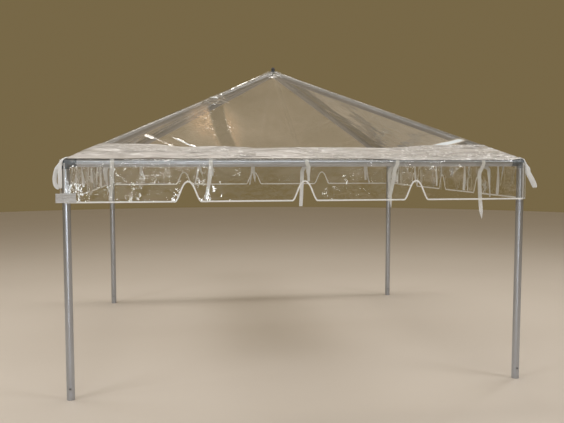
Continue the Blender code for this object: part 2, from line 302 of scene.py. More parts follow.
class Graph:
    """The node tree of a material or the world, filled by Python expressions."""

    def __init__(self, tree: bpy.types.NodeTree) -> None:
        """Start with an empty tree."""
        self.tree = tree
        tree.nodes.clear()

    @classmethod
    def of_material(cls, name: str) -> tuple["Graph", Material]:
        """Make a material with an empty graph.

        Args:
            name: The material's name.

        Returns:
            The graph and the material.
        """
        material = bpy.data.materials.new(name)
        material.use_nodes = True
        return cls(material.node_tree), material

    def put(self, socket: bpy.types.NodeSocket, value: object) -> None:
        """Link a wire to an input socket, or set the socket's own value.

        Args:
            socket: The input socket.
            value: The wire, or what the socket holds.
        """
        if isinstance(value, Wire):
            self.tree.links.new(value.socket, socket)
        elif socket.type == "RGBA" and len(value) == 3:
            socket.default_value = (*value, 1.0)
        else:
            socket.default_value = value

    def node(
        self,
        kind: str,
        settings: dict | None = None,
        values: dict | None = None,
        out: int | str = 0,
    ) -> Wire:
        """Add a node.

        Args:
            kind: The node's type.
            settings: Its own settings, set first.
            values: What its input sockets hold or are linked to, by name or number.
            out: The output that is returned.

        Returns:
            The wire from that output.
        """
        made = self.tree.nodes.new(kind)
        for name, value in (settings or {}).items():
            setattr(made, name, value)
        for key, value in (values or {}).items():
            self.put(made.inputs[key], value)
        return Wire(self, made.outputs[out])

    def place(self) -> Wire:
        """The point in metres, in the tent's frame."""
        return self.node("ShaderNodeTexCoord", out="Object")

    def part(self, vector: Wire, axis: str) -> Wire:
        """The X, Y or Z of a vector."""
        return self.node("ShaderNodeSeparateXYZ", None, {"Vector": vector}, axis)

    def flat(self) -> tuple[Wire, Wire]:
        """Metres across and along a strap or binding."""
        spread = self.node("ShaderNodeTexCoord", out="UV")
        return self.part(spread, "X"), self.part(spread, "Y")

    def mark(self, name: str) -> Wire:
        """A number that the mesh carries at its points."""
        return self.node("ShaderNodeAttribute", {"attribute_name": name}, out="Fac")

    def noise(self, where: Wire, grain: Grain) -> Wire:
        """A noise pattern from 0 to 1.

        Args:
            where: The places.
            grain: The pattern.

        Returns:
            Its value there.
        """
        values = {"Vector": where, "Scale": grain.scale, "Detail": grain.detail}
        made = self.node("ShaderNodeTexNoise", None, {**values, "Distortion": grain.bend})
        return made.step(*grain.cut) if grain.cut else made

    def cells(self, where: Wire, scale: float) -> Wire:
        """The distance to the nearest of some scattered points, which looks like crumpled film."""
        return self.node("ShaderNodeTexVoronoi", None, {"Vector": where, "Scale": scale})

    def vector(self, operation: str, first: Wire, second: object) -> Wire:
        """Add a Vector Math node on two vectors.

        Args:
            operation: What it does.
            first: Its first vector.
            second: Its second one.

        Returns:
            The vector that it gives, or the number of a dot product.
        """
        out = "Value" if operation == "DOT_PRODUCT" else "Vector"
        values = {0: first, 1: second}
        return self.node("ShaderNodeVectorMath", {"operation": operation}, values, out)

    def drawn(self, where: Wire, axis: Spot, grain: Grain) -> Wire:
        """A noise pattern drawn out along an axis.

        Args:
            where: The places.
            axis: The axis, one metre long.
            grain: The pattern.

        Returns:
            Its value there.
        """
        lost = self.vector("DOT_PRODUCT", where, axis) * (1 - grain.kept)
        part = self.node("ShaderNodeVectorMath", {"operation": "SCALE"}, {0: axis, "Scale": lost})
        return self.noise(self.vector("SUBTRACT", where, part), grain)

    def blended(self, share: Wire, first: object, second: object) -> Wire:
        """Two colours mixed."""
        return self.node("ShaderNodeMix", {"data_type": "RGBA"}, {0: share, 6: first, 7: second}, 2)

    def bump(self, height: Wire) -> Wire:
        """The normal of a surface with this height in metres."""
        values = {"Height": height, "Distance": 1.0, "Strength": 1.0}
        return self.node("ShaderNodeBump", None, values)

    def principled(self, values: dict) -> Wire:
        """A Principled BSDF."""
        return self.node("ShaderNodeBsdfPrincipled", None, values)

    def layered(self, share: Wire | float, below: Wire, above: Wire) -> Wire:
        """Two shaders mixed."""
        return self.node("ShaderNodeMixShader", None, {0: share, 1: below, 2: above})

    def finish(self, surface: Wire, kind: str = "ShaderNodeOutputMaterial") -> None:
        """Make this shader the surface, of a material unless another output is named."""
        made = self.tree.nodes.new(kind)
        self.put(made.inputs["Surface"], surface)


class Finish:
    """A finish that is made into a material once."""

    name: str

    def material(self) -> Material:
        """Make the material at its first use.

        Returns:
            The one material of this name.
        """
        found = bpy.data.materials.get(self.name)
        if found is not None:
            return found
        graph, made = Graph.of_material(self.name)
        graph.finish(self.surface(graph))
        return made

    def surface(self, graph: Graph) -> Wire:
        """The shader of the finish."""
        raise NotImplementedError


@dataclass(frozen=True)
class DrawnTube(Finish):
    """Drawn aluminium tube: die lines along its axis, dull patches, scuffs and a soiled foot."""

    name: str
    axis: Spot
    bright: Colour = (0.50, 0.53, 0.59)
    dull: Colour = (0.41, 0.435, 0.485)
    soil: Colour = (0.33, 0.30, 0.26)
    soiled_to: float = 0.09
    clean_foot: float = 0.03
    line_depth: float = 0.00005
    patch_depth: float = 0.00012
    scratch_depth: float = 0.00003
    line_grain: Grain = Grain(260.0, 3.0, kept=0.012)
    patch_grain: Grain = Grain(11.0, 4.0, 0.6, kept=0.35)
    scratch_grain: Grain = Grain(90.0, 4.0, 1.2, (0.66, 0.74), 0.06)
    speckle_grain: Grain = Grain(70.0, 5.0)
    patched: Pair = (0.42, 0.72)

    def surface(self, graph: Graph) -> Wire:
        """Lay the nodes of the tube.

        Args:
            graph: Where they go.

        Returns:
            The shader.
        """
        place = graph.place()
        lines = graph.drawn(place, self.axis, self.line_grain)
        patches = graph.drawn(place, self.axis, self.patch_grain)
        scratches = graph.drawn(place, self.axis, self.scratch_grain)
        height = graph.part(place, "Z")
        speckle = graph.noise(place, self.speckle_grain)
        foot = (height + speckle * self.soiled_to).step(self.soiled_to, self.clean_foot) * 0.7
        worn = (patches.step(*self.patched) * 0.55 + lines * 0.25).held()
        metal = graph.blended(worn, self.bright, self.dull)
        colour = graph.blended(foot * speckle, metal, self.soil)
        rough = 0.27 + lines * 0.08 + worn * 0.07 + scratches * 0.10 + foot * 0.2
        relief = lines * self.line_depth + patches * self.patch_depth - scratches * self.scratch_depth
        return graph.principled(
            {
                "Base Color": colour,
                "Metallic": 1.0 - foot * 0.6,
                "Roughness": rough.held(),
                "Normal": graph.bump(relief),
            }
        )


@dataclass(frozen=True)
class CastFitting(Finish):
    """Cast aluminium, darker and grainier than the tubes, with smooth spots where it rubs."""

    name: str = "cast_aluminium"
    skin: Colour = (0.17, 0.20, 0.24)
    rubbed: Colour = (0.33, 0.36, 0.40)
    grain_depth: float = 0.00022
    blotch_depth: float = 0.0012
    fine_grain: Grain = Grain(420.0, 3.0)
    blotch_grain: Grain = Grain(26.0, 4.0, 0.4)
    rubbed_from: Pair = (0.52, 0.70)

    def surface(self, graph: Graph) -> Wire:
        """Lay the nodes of the casting.

        Args:
            graph: Where they go.

        Returns:
            The shader.
        """
        place = graph.place()
        grain = graph.noise(place, self.fine_grain)
        blotch = graph.noise(place, self.blotch_grain)
        rub = blotch.step(*self.rubbed_from)
        relief = grain * self.grain_depth + blotch * self.blotch_depth
        return graph.principled(
            {
                "Base Color": graph.blended(rub * 0.8, self.skin, self.rubbed),
                "Metallic": 1.0,
                "Roughness": (0.50 + grain * 0.14 - rub * 0.18).held(),
                "Normal": graph.bump(relief),
            }
        )


@dataclass(frozen=True)
class MouldedCap(Finish):
    """A dark moulded cap with dust on top."""

    name: str = "moulded_cap"
    plastic: Colour = (0.035, 0.032, 0.036)
    dust: Colour = (0.22, 0.20, 0.17)
    grain_depth: float = 0.00008
    fine_grain: Grain = Grain(900.0)
    spot_grain: Grain = Grain(160.0, 4.0)
    dusty_from: Pair = (0.45, 0.75)

    def surface(self, graph: Graph) -> Wire:
        """Lay the nodes of the cap.

        Args:
            graph: Where they go.

        Returns:
            The shader.
        """
        place = graph.place()
        grain = graph.noise(place, self.fine_grain)
        spots = graph.noise(place, self.spot_grain)
        dusty = spots.step(*self.dusty_from) * 0.5
        return graph.principled(
            {
                "Base Color": graph.blended(dusty, self.plastic, self.dust),
                "Roughness": (0.38 + spots * 0.3).held(),
                "Normal": graph.bump(grain * self.grain_depth),
            }
        )


@dataclass(frozen=True)
class Crease:
    """A sharp crease in clear film, between two points of the plan."""

    start: Pair
    end: Pair
    width: float
    strength: float


@dataclass(frozen=True)
class ClearFilm(Finish):
    """Clear vinyl: it mirrors at a slant, and turns milky where it is veiled or crumpled.

    The mesh carries two marks: veil, how milky it is, and crumple, how creased it is. Creases are painted
    whitish, partly as whitened vinyl and partly as painted highlight; shadow lines are painted shadow; the
    most veiled places are painted warm, for dust and painted reflected glare.
    """

    name: str
    tint: Colour = (0.95, 0.945, 0.925)
    milk: Colour = (0.80, 0.76, 0.70)
    # Warm colour of the most veiled places: dust, and painted warm reflected glare at the fold rims.
    dust: Colour = (0.88, 0.58, 0.32)
    veil: float = 0.02
    smear: float = 0.03
    swell: float = 0.010
    crumple: float = 0.012
    ripple: float = 0.003
    shine: float = 1.1
    gloss: float = 0.05
    # The colour of the creases: whitened vinyl and painted highlight.
    crease_white_and_highlight: Colour = (0.84, 0.92, 0.98)
    crease_height: float = 0.003
    shadow: Colour = (0.05, 0.048, 0.042)
    wander: float = 0.02
    head_on: float = 0.043
    dusty_from: Pair = (0.05, 0.24)
    swell_grain: Grain = Grain(3.4, bend=0.3)
    coarse_facets: float = 31.0
    fine_facets: float = 67.0
    stroke_grain: Grain = Grain(15.0, bend=0.9)
    ripple_grain: Grain = Grain(34.0)
    smear_grain: Grain = Grain(2.1, 5.0, 0.8, (0.42, 0.70))
    crinkle_grain: Grain = Grain(42.0, 4.0, 1.8, (0.36, 0.64))
    wander_grain: Grain = Grain(9.0)
    creases: tuple[Crease, ...] = ()
    shadows: tuple[Crease, ...] = ()

    def surface(self, graph: Graph) -> Wire:
        """Lay the nodes of the film: clear or milky below, mirrored at both faces on top.

        Args:
            graph: Where they go.

        Returns:
            The shader.
        """
        place = graph.place()
        crumpled, veiled = graph.mark("crumple"), graph.mark("veil")
        facets = graph.cells(place, self.coarse_facets)
        facets = facets + graph.cells(place, self.fine_facets) * 0.42
        strokes = graph.noise(place, self.stroke_grain)
        relief = (
            graph.noise(place, self.swell_grain) * self.swell
            + (facets * 0.65 + strokes * 1.6) * crumpled * self.crumple
            + graph.noise(place, self.ripple_grain) * (crumpled + 0.12) * self.ripple
        )
        smears = graph.noise(place, self.smear_grain)
        crinkle = graph.noise(place, self.crinkle_grain)
        milky = self.veil + veiled * (0.35 + crinkle * 1.3) + smears * self.smear
        milky = milky + crumpled * facets * 0.05
        line = self._lines(graph, place, self.creases)
        shadow = self._lines(graph, place, self.shadows)
        if line is not None:
            milky = milky + line
            relief = relief + line * self.crease_height
        if shadow is not None:
            milky = milky + shadow
        normal = graph.bump(relief)
        values = {"Blend": 0.5, "Normal": normal}
        slant = graph.node("ShaderNodeLayerWeight", None, values, "Facing")
        mirror = slant**5 * (1.0 - self.head_on) + self.head_on
        clear = graph.node("ShaderNodeBsdfTransparent", None, {"Color": self.tint})
        # Warm where most veiled: dust and painted reflected glare.
        milk = graph.blended(veiled.step(*self.dusty_from), self.milk, self.dust)
        if line is not None:
            # Whitish along the creases: whitened vinyl and painted highlight.
            milk = graph.blended(line, milk, self.crease_white_and_highlight)
        if shadow is not None:
            milk = graph.blended(shadow, milk, self.shadow)
        cloudy = graph.principled({"Base Color": milk, "Roughness": 0.45, "Normal": normal})
        gloss = graph.node(
            "ShaderNodeBsdfGlossy",
            None,
            {"Color": (1.0, 1.0, 1.0), "Roughness": self.gloss, "Normal": normal},
        )
        body = graph.layered(milky.held(), clear, cloudy)
        both_faces = (mirror * (2.0 * self.shine) / (1.0 + mirror)).held()
        return graph.layered(both_faces, body, gloss)

    def _lines(self, graph: Graph, place: Wire, creases: tuple[Crease, ...]) -> Wire | None:
        """How near a place is to some creases, which wander a little off their straight lines.

        Args:
            graph: Where the nodes go.
            place: The place.
            creases: The creases.

        Returns:
            A wire from 0 to 1 on a crease's line, or None where there are no creases.
        """
        if not creases:
            return None
        wander = (graph.noise(place, self.wander_grain) - 0.5) * self.wander
        lines = [self._line(graph, place, wander, crease) for crease in creases]
        return sum(lines[1:], lines[0]).held()

    @staticmethod
    def _line(graph: Graph, place: Wire, wander: Wire, crease: Crease) -> Wire:
        """How near a place is to a crease.

        Args:
            graph: Where the nodes go.
            place: The place.
            wander: How far the crease strays to its side there.
            crease: The crease, which fades at its ends.

        Returns:
            A wire from 0 to the crease's strength on its line.
        """
        spread = (crease.end[0] - crease.start[0], crease.end[1] - crease.start[1])
        length = math.hypot(*spread)
        way = (spread[0] / length, spread[1] / length, 0.0)
        moved = graph.vector("SUBTRACT", place, (*crease.start, 0.0))
        along = graph.vector("DOT_PRODUCT", moved, way)
        side = graph.vector("DOT_PRODUCT", moved, (-way[1], way[0], 0.0))
        share = along / length
        ends = share.step(-0.05, 0.25) * share.step(1.05, 0.8)
        return abs(side + wander).step(crease.width, crease.width * 0.15) * ends * crease.strength


@dataclass(frozen=True)
class WhiteFilm(Finish):
    """Whitish glossy film, nearly opaque, with soft wrinkles and crinkled spots, painted shade in darker
    streaks, painted glints, and a painted highlight along its lower edge.
    """

    name: str = "white_film_band"
    pale: Colour = (0.55, 0.515, 0.485)
    # The colour that the painted shade of the wrinkles darkens to.
    wrinkle_shade_grey: Colour = (0.37, 0.34, 0.315)
    # The colour of the painted highlight along the rolled lower edge.
    hem_highlight: Colour = (0.64, 0.62, 0.60)
    glint: Colour = (0.98, 0.96, 0.93)
    crumple: float = 0.016
    swell: float = 0.006
    crinkle: float = 0.0030
    flat: Spot = (1.0, 1.0, 4.5)
    thin: Spot = (1.0, 1.0, 12.0)
    coarse_facets: float = 21.0
    fine_facets: float = 71.0
    cloud_grain: Grain = Grain(5.0, 4.0, 0.7)
    clouded: Pair = (0.40, 0.75)
    stroke_grain: Grain = Grain(13.0, bend=0.8)
    swell_grain: Grain = Grain(7.0, bend=0.5)
    crinkle_grain: Grain = Grain(46.0, 3.0)
    shade_streak_grain: Grain = Grain(4.2, 3.0, 0.7, (0.46, 0.66))
    glint_grain: Grain = Grain(44.0, 3.0, 0.8, (0.57, 0.64))
    glinting: Pair = (0.55, 0.95)

    def surface(self, graph: Graph) -> Wire:
        """Lay the nodes of the film.

        Args:
            graph: Where they go.

        Returns:
            The shader.
        """
        place = graph.place()
        crumpled = graph.mark("crumple")
        clouds = graph.noise(place, self.cloud_grain)
        flat = graph.vector("MULTIPLY", place, self.flat)
        facets = graph.cells(flat, self.coarse_facets) + graph.cells(place, self.fine_facets) * 0.3
        strokes = graph.noise(flat, self.stroke_grain)
        relief = (
            (facets * 0.6 + strokes * 1.6) * crumpled * self.crumple
            + graph.noise(flat, self.swell_grain) * self.swell
            + graph.noise(place, self.crinkle_grain) * (crumpled + 0.1) * self.crinkle
        )
        normal = graph.bump(relief)
        # Darker clouds and darker streaks along the eaves: the streaks are painted shade of the long
        # wrinkles.
        shade_streaks = graph.noise(graph.vector("MULTIPLY", place, self.thin), self.shade_streak_grain)
        shade = (clouds.step(*self.clouded) * 0.35 + shade_streaks * 0.75).held()
        colour = graph.blended(shade, self.pale, self.wrinkle_shade_grey)
        # Paler by the hem mark: a painted highlight along the rolled lower edge.
        colour = graph.blended(graph.mark("hem_highlight"), colour, self.hem_highlight)
        glints = graph.noise(flat, self.glint_grain) * crumpled.step(*self.glinting)
        return graph.principled(
            {
                "Base Color": graph.blended(glints, colour, self.glint),
                "Roughness": (0.36 + clouds * 0.14).held(),
                "Coat Weight": (0.55 + crumpled * 0.45).held(),
                "Coat Roughness": 0.04,
                "Normal": normal,
                "Coat Normal": normal,
            }
        )


@dataclass(frozen=True)
class Webbing(Finish):
    """White woven webbing, ribbed across, with a selvedge and some grime."""

    name: str
    half_width: float
    pale: Colour = (0.80, 0.815, 0.825)
    grime: Colour = (0.52, 0.505, 0.48)
    pick: float = 0.0017
    warp: float = 0.0011
    selvedge: Pair = (0.0022, 0.0008)
    weave_depth: float = 0.00022
    warp_depth: float = 0.00008
    edge_depth: float = 0.0002
    dirt_grain: Grain = Grain(17.0, 4.0, 0.6, (0.48, 0.78))

    def surface(self, graph: Graph) -> Wire:
        """Lay the nodes of the webbing.

        Args:
            graph: Where they go.

        Returns:
            The shader.
        """
        place = graph.place()
        across, along = graph.flat()
        from_edge = self.half_width - abs(across)
        chevron = (along + abs(across) * 0.5) * (2 * math.pi / self.pick)
        weave = chevron.sine() * 0.5 + 0.5
        warp = (across * (2 * math.pi / self.warp)).sine() * 0.5 + 0.5
        edge = from_edge.step(*self.selvedge)
        dirt = graph.noise(place, self.dirt_grain)
        shade = (dirt * 0.40 + (1.0 - weave) * 0.16 + edge * 0.10).held()
        relief = weave * self.weave_depth + warp * self.warp_depth + edge * self.edge_depth
        return graph.principled(
            {
                "Base Color": graph.blended(shade, self.pale, self.grime),
                "Roughness": (0.70 + weave * 0.12).held(),
                "Normal": graph.bump(relief),
            }
        )


@dataclass(frozen=True)
class StitchedTape(Finish):
    """White binding tape folded over an edge, with one row of stitches."""

    name: str = "binding_tape"
    pale: Colour = (0.88, 0.89, 0.89)
    grime: Colour = (0.58, 0.55, 0.50)
    stitch_row: float = 0.0020
    stitch_pitch: float = 0.0035
    rib: float = 0.0012
    rib_depth: float = 0.0001
    stitch_height: float = 0.0004
    hole_depth: float = 0.0003
    thread: Pair = (0.0006, 0.0003)
    stitched: Pair = (-0.3, 0.1)
    dirt_grain: Grain = Grain(13.0, 4.0, 0.5, (0.50, 0.80))

    def surface(self, graph: Graph) -> Wire:
        """Lay the nodes of the tape.

        Args:
            graph: Where they go.

        Returns:
            The shader.
        """
        place = graph.place()
        across, along = graph.flat()
        row = abs(across - self.stitch_row).step(*self.thread)
        dash = (along * (2 * math.pi / self.stitch_pitch)).sine().step(*self.stitched)
        stitch = row * dash
        hole = row * (1.0 - dash)
        rib = (along * (2 * math.pi / self.rib)).sine() * 0.5 + 0.5
        dirt = graph.noise(place, self.dirt_grain)
        shade = (dirt * 0.35 + hole * 0.5 + (1.0 - rib) * 0.08).held()
        relief = rib * self.rib_depth + stitch * self.stitch_height - hole * self.hole_depth
        return graph.principled(
            {
                "Base Color": graph.blended(shade, self.pale, self.grime),
                "Roughness": (0.62 + rib * 0.1).held(),
                "Normal": graph.bump(relief),
            }
        )


@dataclass(frozen=True)
class PaleFloor(Finish):
    """A plain pale studio floor."""

    name: str = "pale_floor"
    light: Colour = (0.68, 0.615, 0.545)
    dark: Colour = (0.64, 0.575, 0.508)
    drift_grain: Grain = Grain(0.6, 3.0)

    def surface(self, graph: Graph) -> Wire:
        """Lay the nodes of the floor.

        Args:
            graph: Where they go.

        Returns:
            The shader.
        """
        drift = graph.noise(graph.place(), self.drift_grain)
        return graph.principled(
            {"Base Color": graph.blended(drift, self.light, self.dark), "Roughness": 0.55}
        )


class Pile:
    """Faces gathered from several parts before they become one object."""

    def __init__(self) -> None:
        """Start empty."""
        self.points: list[Array] = []
        self.faces: list[tuple[int, ...]] = []
        self.spread: list[Array] = []
        self.marks: dict[str, list[Array]] = {}
        self.count = 0

    def _take(self, points: Array, spread: Array, marks: dict[str, Array]) -> int:
        """Add points.

        Args:
            points: Their places.
            spread: Metres across and along at each.
            marks: Numbers at each, by name.

        Returns:
            The number that the first one got.
        """
        start = self.count
        flat = points.reshape(-1, 3)
        self.points.append(flat)
        self.spread.append(spread.reshape(-1, 2))
        for name, values in marks.items():
            self.marks.setdefault(name, []).append(np.asarray(values, float).reshape(-1))
        self.count += len(flat)
        return start

    def grid(
        self,
        points: Array,
        spread: Array | None = None,
        marks: dict[str, Array] | None = None,
        ring: bool = False,
    ) -> None:
        """Add a grid of four-sided faces.

        Args:
            points: Rows of columns of places. A face looks along column way cross row way.
            spread: Metres across and along at each place.
            marks: Numbers at each place, by name.
            ring: Whether the last column meets the first.
        """
        rows, columns = points.shape[:2]
        spread = np.zeros((rows, columns, 2)) if spread is None else spread
        start = self._take(points, spread, marks or {})
        across = columns if ring else columns - 1
        i, j = np.meshgrid(np.arange(rows - 1), np.arange(across), indexing="ij")
        step = (j + 1) % columns
        quads = np.stack(
            [i * columns + j, i * columns + step, (i + 1) * columns + step, (i + 1) * columns + j],
            axis=-1,
        )
        self.faces += [tuple(face) for face in (quads.reshape(-1, 4) + start).tolist()]

    def swept(self, rings: Array, spread: Array) -> None:
        """Add a capped body swept through rings of points.

        Args:
            rings: Rings along the path, each against the clock when seen from ahead.
            spread: Metres across and along at each place.
        """
        start = self.count
        self.grid(rings, spread, ring=True)
        size = rings.shape[1]
        self.faces.append(tuple(start + size - 1 - i for i in range(size)))
        last = start + (rings.shape[0] - 1) * size
        self.faces.append(tuple(last + i for i in range(size)))

    def made(self, name: str, finish: Finish, slot: Slot) -> Thing:
        """The object, with its material, riding on the tent.

        Args:
            name: The piece's name.
            finish: What it is finished in.
            slot: The record's slot that it stands for; not used.

        Returns:
            The new piece.
        """
        mesh = bpy.data.meshes.new(name)
        mesh.from_pydata(np.concatenate(self.points).tolist(), [], self.faces)
        layer = mesh.uv_layers.new(name="metres")
        corners = np.zeros(len(mesh.loops), int)
        mesh.loops.foreach_get("vertex_index", corners)
        spread = np.concatenate(self.spread)[corners].astype(np.float32)
        layer.data.foreach_set("uv", spread.ravel())
        for mark, parts in self.marks.items():
            values = np.concatenate(parts).astype(np.float32)
            mesh.attributes.new(mark, "FLOAT", "POINT").data.foreach_set("value", values)
        mesh.materials.append(finish.material())
        mesh.shade_smooth()
        piece = bpy.data.objects.new(name, mesh)
        bpy.context.scene.collection.objects.link(piece)
        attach(piece, BODY)
        LOG.info("%s: %d points, %d faces", name, self.count, len(self.faces))
        return piece


# Half the width that a strap keeps where its eased edges would meet.
LEAST_WIDTH = 0.0002


def strap_ring(half_width: Array, half_thick: float) -> tuple[Array, Array]:
    """The section of a strap: a flat bar with eased edges, at each point of its path.

    Args:
        half_width: Half the strap's width at each point of its path.
        half_thick: Half its thickness.

    Returns:
        Offsets across the strap and off its face, with the path's points first.
    """
    width, thick = half_width[:, None], half_thick
    side = np.array([1, 1, 1, -1, -1, -1, -1, 1])[None, :]
    ease = np.array([0, 0, 1, 1, 0, 0, 1, 1])[None, :] * thick
    across = side * np.maximum(width - ease, LEAST_WIDTH)
    off = np.array([-0.5, 0.5, 1, 1, 0.5, -0.5, -1, -1])[None, :] * thick
    return across, np.broadcast_to(off, across.shape)


def strap(pile: Pile, path: Array, across: Array, width: Array, thick: float) -> None:
    """Add a strap to a pile.

    Args:
        pile: What the strap is added to.
        path: The places along its middle.
        across: Which way its width lies at each of them.
        width: Its width at each of them.
        thick: Its thickness.
    """
    ahead = np.gradient(path, axis=0)
    ahead /= np.linalg.norm(ahead, axis=1, keepdims=True)
    across = across - ahead * np.sum(across * ahead, axis=1, keepdims=True)
    across /= np.linalg.norm(across, axis=1, keepdims=True)
    face = np.cross(ahead, across)
    offset, off = strap_ring(width / 2, thick / 2)
    rings = path[:, None] + across[:, None] * offset[..., None] + face[:, None] * off[..., None]
    along = np.broadcast_to(run_along(path)[:, None], offset.shape)
    pile.swept(rings, np.stack([offset, along], axis=-1))


@dataclass(frozen=True)
class TentSizes:
    """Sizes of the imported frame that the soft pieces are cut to."""

    half_span: float
    eave_height: float
    tube_radius: float
    pitch: float
    roof_edge: float
    roof_edge_height: float
    film: float
    band_top: float
    hole: float
    valance_foot: float
    loop_top: float
    loop_foot: float
    past_axis: float = 0.006

    @classmethod
    def measured(cls) -> "TentSizes":
        """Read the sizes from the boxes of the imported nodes.

        Returns:
            The sizes.
        """
        beam_low, beam_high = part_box("eave_beam_front")
        panel_low, panel_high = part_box("roof_panel_front")
        band_low, band_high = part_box("eave_band_front")
        bound_low, bound_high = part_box("valance_binding_front")
        loop_low, loop_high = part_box("corner_loop_front_left")
        return cls(
            half_span=-(beam_low.y + beam_high.y) / 2,
            eave_height=(beam_low.z + beam_high.z) / 2,
            tube_radius=(beam_high.z - beam_low.z) / 2,
            pitch=(panel_low.z - band_low.z) / (panel_low.y - band_low.y),
            roof_edge=-band_low.y,
            roof_edge_height=band_low.z,
            film=bound_high.y - bound_low.y,
            band_top=-band_high.y,
            hole=-panel_high.y,
            valance_foot=bound_low.z,
            loop_top=loop_high.z,
            loop_foot=loop_low.z,
        )

    @property
    def slope(self) -> float:
        """The roof's slope as an angle."""
        return math.atan(self.pitch)

    @property
    def fold_radius(self) -> float:
        """How far from the beam's axis the film passes where it turns down over the beam."""
        return (self.sheet_height(self.half_span) - self.eave_height) * math.cos(self.slope)

    @property
    def film_half(self) -> float:
        """Half the width of the film's square at the eaves, only this far past the beams' axes."""
        return self.half_span + self.past_axis

    def sheet_height(self, out: Array) -> Array:
        """The height of the middle of the roof film, this far out on the plan."""
        under = self.roof_edge_height + self.pitch * (self.roof_edge - out)
        return under + self.film / 2 / math.cos(self.slope)


@dataclass(frozen=True)
class Fold:
    """A fold in the roof film, flat-topped across, along a line on the plan.

    It can raise the film, and change its milkiness on itself and along its rims, where the milkier film is
    crinkled film and painted reflected glare.
    """

    start: Pair
    end: Pair
    width: float
    height: float
    veil: float = 0.0
    rim_crinkle_and_glare: float = 0.0
    bow: float = 0.0
    narrowing: float = 0.0

    def measured(self, x: Array, y: Array) -> tuple[Array, Array]:
        """How far places lie from the fold, in half widths, and how strong it is there.

        Args:
            x: Metres to the right.
            y: Metres to the rear.

        Returns:
            Both, at each place.
        """
        line = np.array(self.end) - np.array(self.start)
        length = float(np.hypot(*line))
        way = line / length
        along = ((x - self.start[0]) * way[0] + (y - self.start[1]) * way[1]) / length
        side = (x - self.start[0]) * -way[1] + (y - self.start[1]) * way[0]
        side = side - self.bow * 4 * along * (1 - along)
        half = self.width / 2 * (1 - self.narrowing * np.clip(along, 0, 1))
        return side / half, smooth(along, 0.0, 0.15) * smooth(1 - along, 0.0, 0.15)

    def lift(self, x: Array, y: Array) -> Array:
        """How much the fold raises the film."""
        side, strength = self.measured(x, y)
        return self.height * strength / (1 + side**4)

    def veiled(self, x: Array, y: Array) -> Array:
        """How much the fold changes the film's milkiness, the rims milkier as crinkled film and painted
        reflected glare.

        Args:
            x: Metres to the right.
            y: Metres to the rear.

        Returns:
            The change, which is below 0 where the film gets clearer.
        """
        side, strength = self.measured(x, y)
        off = np.abs(side)
        # Milkier along the rims: crinkled film and painted reflected glare.
        rim_crinkle_and_glare = self.rim_crinkle_and_glare * np.exp(-np.clip(off - 1.2, 0, None) / 0.45) * smooth(off, 0.85, 1.25)
        return strength * (self.veil / (1 + off**8) + rim_crinkle_and_glare)


# Folds on the front slope, whose rims are painted milky as crinkled film and reflected glare.
FRONT_FOLDS = (
    Fold(
        (-0.530, -0.66), (-0.457, -1.43), 0.108, 0.0, veil=-0.30, rim_crinkle_and_glare=0.19, bow=-0.018, narrowing=0.2
    ),
    Fold((0.468, -0.62), (0.575, -1.40), 0.030, 0.0, veil=-0.10, rim_crinkle_and_glare=0.04),
    Fold((-1.07, -1.12), (-0.80, -1.33), 0.040, 0.003, bow=-0.012),
)
# Creases on the front slope, painted whitish: whitened vinyl and painted highlight.
FRONT_CREASES = (
    Crease((-0.86, -1.198), (-0.66, -1.375), 0.012, 1.0),
    Crease((-1.02, -1.17), (-0.84, -1.34), 0.008, 0.25),
    Crease((0.468, -0.64), (0.570, -1.34), 0.005, 0.12),
    Crease((0.90, -1.350), (1.215, -1.230), 0.036, 1.2),
    Crease((-0.30, -0.45), (-0.10, -1.33), 0.005, 0.06),
    Crease((0.30, -0.60), (0.36, -1.33), 0.005, 0.06),
    Crease((-0.570, -0.560), (-0.500, -0.592), 0.013, 1.6),
)
PUCKER_SHADOWS = (
    Crease((-0.630, -0.638), (-0.552, -0.690), 0.017, 1.3),
    Crease((-0.585, -0.608), (-0.500, -0.632), 0.017, 1.3),
    Crease((-0.512, -0.538), (-0.448, -0.594), 0.016, 1.2),
    Crease((-0.502, -0.606), (-0.428, -0.669), 0.014, 1.0),
    Crease((-0.560, -0.670), (-0.488, -0.682), 0.012, 0.9),
)


def packing_folds(seed: int = 21) -> tuple[Fold, ...]:
    """Folds on the other three slopes: two down the middle of each and one at each foot.

    Args:
        seed: What the draws start from.

    Returns:
        The folds.
    """
    drawn = np.random.default_rng(seed)
    top_y, foot_y, corner_x, corner_y = -0.66, -1.41, 1.05, -1.12
    folds = []
    for side in (Side.RIGHT, Side.REAR, Side.LEFT):
        for across in (-0.5, 0.5):
            top, foot, width = drawn.uniform([-0.04, -0.05, 0.025], [0.04, 0.05, 0.09])
            ends = np.array([[across + top, top_y, 0.0], [across + foot, foot_y, 0.0]])
            start, end = side.turned(ends)[:, :2]
            folds.append(Fold(tuple(start), tuple(end), width, 0.0004, veil=-0.09, rim_crinkle_and_glare=0.10))
        for sign in (-1, 1):
            reach, drop = drawn.uniform([0.20, 0.10], [0.34, 0.20])
            inner = [sign * (corner_x - reach), corner_y - drop, 0.0]
            start, end = side.turned(np.array([[sign * corner_x, corner_y, 0.0], inner]))[:, :2]
            folds.append(Fold(tuple(start), tuple(end), 0.038, 0.004, rim_crinkle_and_glare=0.05))
    return tuple(folds)


